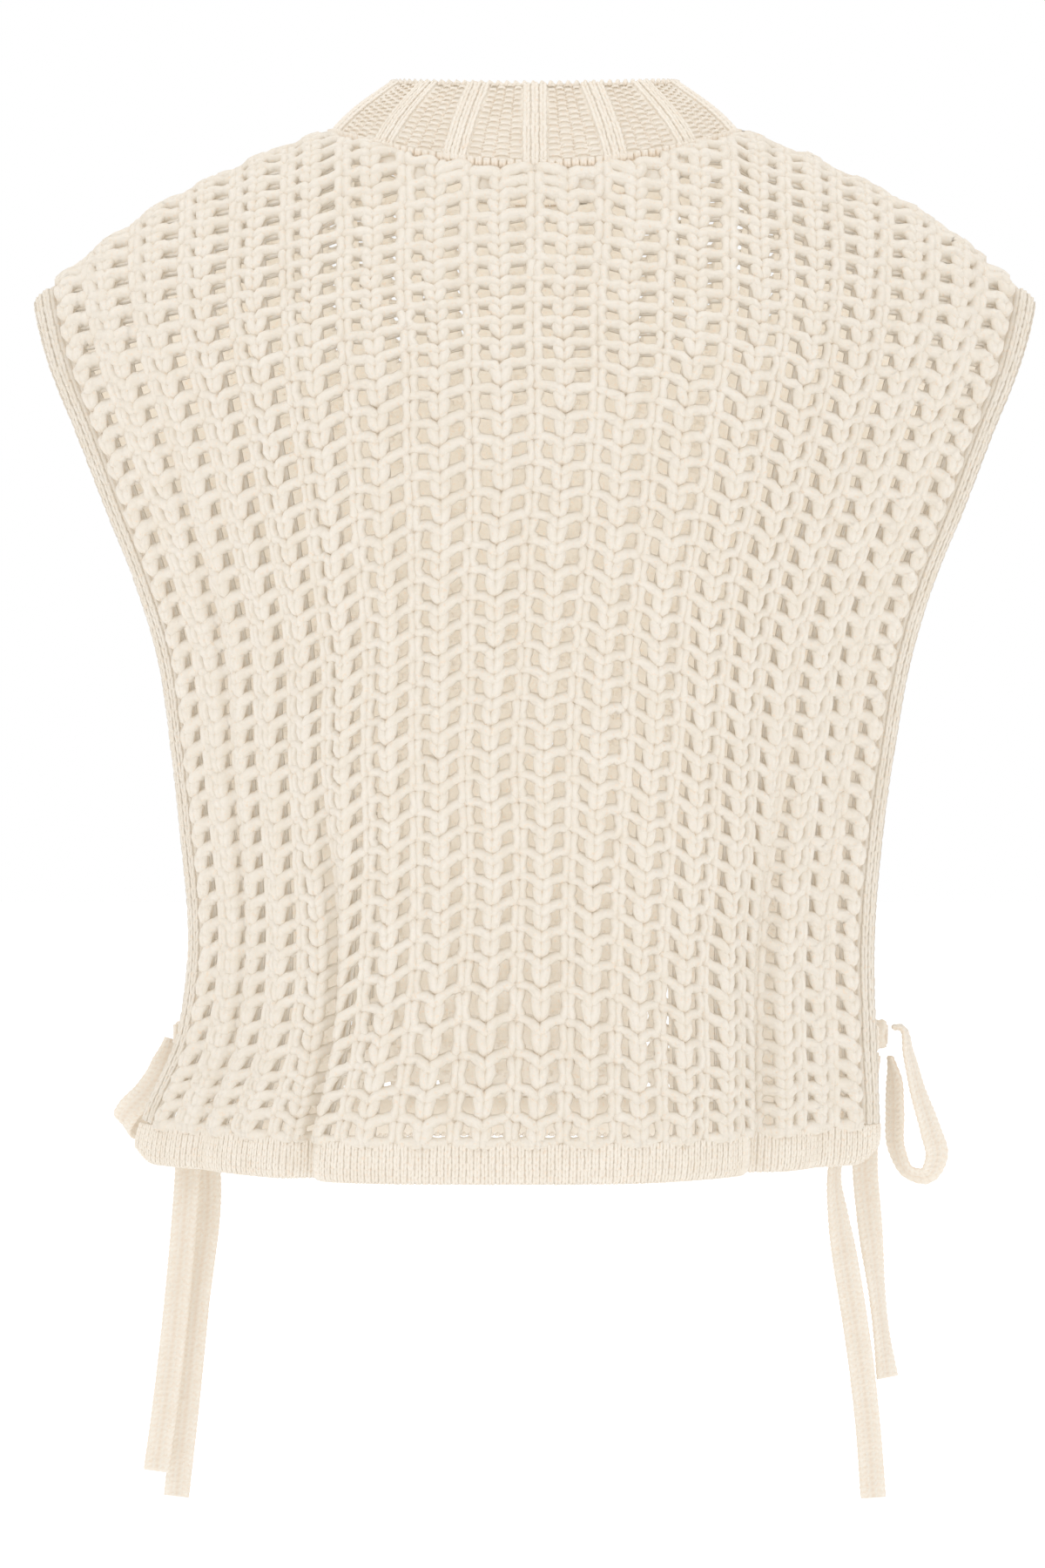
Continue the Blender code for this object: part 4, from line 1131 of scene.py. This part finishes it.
SHOULDER_YARN = table(
    "along out up upright outward wide high tuck",
    (0.0, -3.0, -2.2, 0.6, -0.8, 1.1, 0.935, 0.6),
    (0.3, -1.3, -0.4, 1.0, -0.3, 1.7, 1.445, 0.0),
    (0.7, 1.3, -0.4, 1.0, 0.3, 1.7, 1.445, 0.0),
    (1.0, 3.0, -2.2, 0.6, 0.8, 1.1, 0.935, 0.6),
)


def collar_skin():
    """The neckband's outside without its yarns, level by level, with its girths and its ribs' heights."""
    steps = np.arange(COLLAR_STEPS) / COLLAR_STEPS
    rows = np.stack([collar_ring(share, steps) for share in np.linspace(0, 1, COLLAR_LEVELS)])
    around = np.roll(rows, -1, 1) - np.roll(rows, 1, 1)
    normal = unit(np.cross(around, np.gradient(rows, axis=0)))
    girth = np.linalg.norm(np.roll(rows, -1, 1) - rows, axis=-1).sum(1)
    rib = (steps * COLLAR_RIBS + 0.5) % 1.0 - 0.5
    away = np.abs(rib)[None, :] * girth[:, None] / COLLAR_RIBS
    plateau = 1 - ease((away - RIB_WALE * RIB_WALES * RIB_EDGE) / (RIB_WALE * RIB_SLOPE))
    return rows, normal, girth, plateau


def edge_yarns(points, out, yarn):
    """Yarns laid over an edge, where out is level with it."""
    away, up = ((column_of(yarn, name) * MM)[:, None] for name in ("out", "up"))
    upright, outward = (column_of(yarn, name)[:, None] for name in ("upright", "outward"))
    return strands(points + out * away + UP * up, unit(UP * upright + out * outward), yarn, MM)


def make_neckband():
    rows, normal, girth, plateau = collar_skin()
    outer = rows + normal * (RIB_LIFT * plateau + COLLAR_OUT)[..., None]
    parts = [slab(outer, rows + normal * COLLAR_IN, ring=True)]
    height = risen(rows)
    grids = [np.concatenate([grid, grid[:, :1]], 1) for grid in (rows, normal)]

    def at_step(step, up, lift=0.0):
        y = np.interp(up, height, np.arange(COLLAR_LEVELS))
        points, out = read_grids((step % 1.0) * COLLAR_STEPS, y, *grids)
        out = unit(out)
        return points + out * lift, out

    def girth_at(up):
        return np.interp(np.clip(up, 0, height[-1]), height, girth)

    first, last = COLLAR_STITCH * COLLAR_MARGIN["foot"], height[-1] + COLLAR_STITCH * COLLAR_MARGIN["top"]
    courses = np.arange(first, last, COLLAR_STITCH)
    for rib in np.arange(COLLAR_RIBS) / COLLAR_RIBS:
        for offset in (np.arange(RIB_WALES) - (RIB_WALES - 1) / 2) * RIB_WALE:
            lift = RIB_LIFT - RIB_SINK - (RIB_ROUND if offset else 0)

            def on_rib(across, up, rib=rib, lift=lift):
                return at_step(rib + across / girth_at(up), up, lift)

            parts += stitch_rows(on_rib, [offset], courses, RIB_WALE, COLLAR_STITCH)
        for wale in range(RECESS_WALES):

            def in_recess(across, up, rib=rib, share=(wale + 0.5) / RECESS_WALES):
                rib_half = RIB_WALE * RIB_WALES / 2 / girth_at(up)
                room = 1 / COLLAR_RIBS - 2 * rib_half
                return at_step(rib + rib_half + room * share + across * room / RECESS_WALES / RIB_WALE, up)

            shifted = courses + COLLAR_STITCH * 0.5 * (wale % 2)
            parts += stitch_rows(in_recess, [0.0], shifted, RIB_WALE, COLLAR_STITCH, PURL_ARC, (1,))
    # The bound-off edge at the top, then the bumps where the band is picked up along the panels' edge.
    for yarn, pitch, level in ((RIM_YARN, RIM_STITCH, -1), (SEAM_YARN, SEAM_STITCH, 0)):
        count = int(girth[level] / pitch)
        step = (np.arange(count) / count)[:, None] + column_of(yarn, "along") / count
        up = np.broadcast_to(height[level] + column_of(yarn, "level") * MM, step.shape)
        parts.append(edge_yarns(*at_step(step, up), yarn))
    make_piece("neck_rib", parts, "fine_wool", ["neckband"])


# ---------------------------------------------------------------- shoulder seams

SEAM_START = 0.985  # in neck half widths


def make_shoulder_seam(side_name, cloths):
    """Yarns laid over the line where back and front panel are joined."""
    line = (cloths["back"].rows[-1] + cloths["front"].rows[-1]) / 2
    line = line[line[:, 0] * SIGNS[side_name] > NECK_HALF_WIDTH * SEAM_START]
    length = travelled(line)
    count = int(length[-1] / SHOULDER_STITCH)
    want = (np.arange(count)[:, None] + column_of(SHOULDER_YARN, "along")) * SHOULDER_STITCH
    parts = [edge_yarns(read_line(want, length, line), np.array([0.0, 1.0, 0.0]), SHOULDER_YARN)]
    make_piece(f"shoulder_seam_{side_name}", parts, "chunky_wool")


# ---------------------------------------------------------------- ties

STRAP_SQUARE = dict(wide=0.75, high=0.55)  # below 1 a strap's section is squarer than an ellipse
STRAP_STATION = 0.75 * MM
STRAP_WALES = 4  # on each face
STRAP_STITCH = 3.0 * MM
STRAP_POINTS = 36
GATHER, GATHERED = 14.0 * MM, 0.55  # a loop narrows to this share over this stretch into the knot
RELIEF = dict(crest=1.05, wale=0.42, stitch=0.34, slant=0.55, edge=0.025, thick=1.12)
# Painted shade in the grooves between a strap's wales and between its stitches.
ROUND_END, ROUND_SHARE, ROUND_WIDE = 1.2 * MM, 0.55, 0.06
GROOVE_SHADE = dict(wale=0.55, stitch=0.45)
WRAP = dict(start=-75, end=255, points=26, radius=6.3 * MM, waver=0.0006, width=11.0 * MM)
WRAP_ACROSS = (1.0, 0.0, 0.12)
STRIP = dict(half=6.8, points=14, lift=0.5 * MM, width=10.5 * MM)
STRIPS = table("lean along_y", (25, 1.8), (-20, -1.6))
STEM = dict(gap=3 * SEAM_GAP, inside=1.5 * MM, points=16)


def strap_tube(points, leans=None, steady=None, width=STRAP_WIDTH, gathered=False, along=None):
    """A flat knitted tube with its wales and stitches in relief."""
    along = unit(np.gradient(points, axis=0) if along is None else along)
    if steady is None:
        flat = unit(np.stack([-along[:, 2], np.zeros(len(points)), along[:, 0]], -1))
        lean = np.radians(leans)[:, None]
        across = np.cos(lean) * flat + np.sin(lean) * np.array([0.0, 1.0, 0.0])
    else:
        settle = ease(np.linspace(0, 1 / STEADY_FROM, len(points)))[:, None]
        across = np.array(STEADY_AT_KNOT) * (1 - settle) + np.array(steady) * settle
    across = unit(across - along * (across * along).sum(-1, keepdims=True))
    face = np.cross(along, across)
    angle = np.arange(STRAP_POINTS) * 2 * math.pi / STRAP_POINTS
    wide, high = (
        np.sign(turn) * np.abs(turn) ** STRAP_SQUARE[name]
        for name, turn in (("wide", np.cos(angle)), ("high", np.sin(angle)))
    )
    away = np.abs((wide + 1) / 2 * STRAP_WALES % 1.0 - 0.5) * 2
    length = travelled(points)
    stitch = (length / STRAP_STITCH)[:, None]
    between = 0.5 + 0.5 * np.cos(2 * math.pi * (stitch + away[None, :] * RELIEF["slant"]))
    relief = RELIEF["crest"] - RELIEF["wale"] * away[None, :] ** 2 - RELIEF["stitch"] * between
    end = np.minimum(length, length[-1] - length)[:, None]
    if gathered:
        width = width * (GATHERED + (1 - GATHERED) * ease(end / GATHER))
    rounded = 1 - ROUND_SHARE + ROUND_SHARE * np.sqrt(np.clip(end / ROUND_END, 0, 1))
    thick = STRAP_THICK / 2 * RELIEF["thick"] * relief * rounded
    edge = 1 + RELIEF["edge"] * np.cos(2 * math.pi * stitch) - ROUND_WIDE * (1 - rounded)
    sections = (
        points[:, None]
        + across[:, None] * (wide[None, :] * edge * width / 2)[..., None]
        + face[:, None] * (high[None, :] * thick)[..., None]
    )
    tube, groups, _ = loft(sections)
    # Painted shade: darker peach in the grooves between wales and between stitches.
    tuck = GROOVE_SHADE["wale"] * away[None, :] ** 3 + GROOVE_SHADE["stitch"] * between**2
    return tube, groups, tuck.reshape(-1)


def make_knot(side_name, centre):
    turn = np.radians(np.linspace(WRAP["start"], WRAP["end"], WRAP["points"]))
    circle = [np.cos(turn) * WRAP["radius"], np.sin(turn) * WRAP["radius"]]
    wrap = centre + np.stack([WRAP["waver"] * np.cos(3 * turn), *circle], -1)
    parts = [strap_tube(wrap, steady=WRAP_ACROSS, width=WRAP["width"])]
    count = STRIP["points"]
    line = np.linspace(-STRIP["half"], STRIP["half"], count) * MM
    inner = centre + np.stack([line, np.zeros(count), np.full(count, STRIP["lift"])], -1)
    for row in STRIPS:
        strip = inner + np.array([0, row["along_y"] * MM, 0])
        parts.append(strap_tube(strip, np.full(count, float(row["lean"])), width=STRIP["width"]))
    make_piece(f"{side_name}_bow_knot", parts, "tie_wool", [f"tie_{side_name}_knot"])


def make_stem(side_name, side, cloth, centre):
    """The short stretch of strap from a panel's side edge to the knot."""
    edge, out = across_edge(cloth.rows, SIGNS[side_name])
    tip = edge + out * (BAND_WIDTH + STEM["gap"])
    start = tip[np.argmin(np.abs(tip[:, 2] - centre[2]))] - np.array([0.0, FACING[side] * STEM["gap"], 0.0])
    start[2] = centre[2]
    end = np.array([start[0], FACING[side] * (KNOT_HALF[1] + SEAM_GAP - STEM["inside"]), centre[2]])
    line = start + (end - start) * np.linspace(0, 1, STEM["points"])[:, None]
    stem = strap_tube(line, steady=STEADY_AT_KNOT)
    node = f"tie_{side_name}_stem_{side}"
    make_piece(f"{side_name}_stem_{side}_knit", [stem], "tie_wool", [node])


def make_ties(side_name, cloths):
    centre = np.array(KNOT_CENTRE[side_name])
    make_knot(side_name, centre)
    for side in cloths:
        make_stem(side_name, side, cloths[side], centre)
    for name, route in ROUTES.items():
        if not name.startswith(f"tie_{side_name}"):
            continue
        points, leans, along = smooth_route(route, STRAP_STATION)
        tube = strap_tube(points, leans, STEADY_ACROSS.get(name), gathered="loop" in name, along=along)
        piece = make_piece(f"{name.removeprefix('tie_')}_knit", [tube], "tie_wool", [name])


def main():
    make_camera()
    make_lights()
    make_floor()
    cloths = {side: make_lace(side) for side in FACING}
    for side in cloths:
        make_hem(side)
    make_neckband()
    for side_name in SIGNS:
        make_edge_band(side_name, cloths)
        make_shoulder_seam(side_name, cloths)
        make_ties(side_name, cloths)


main()
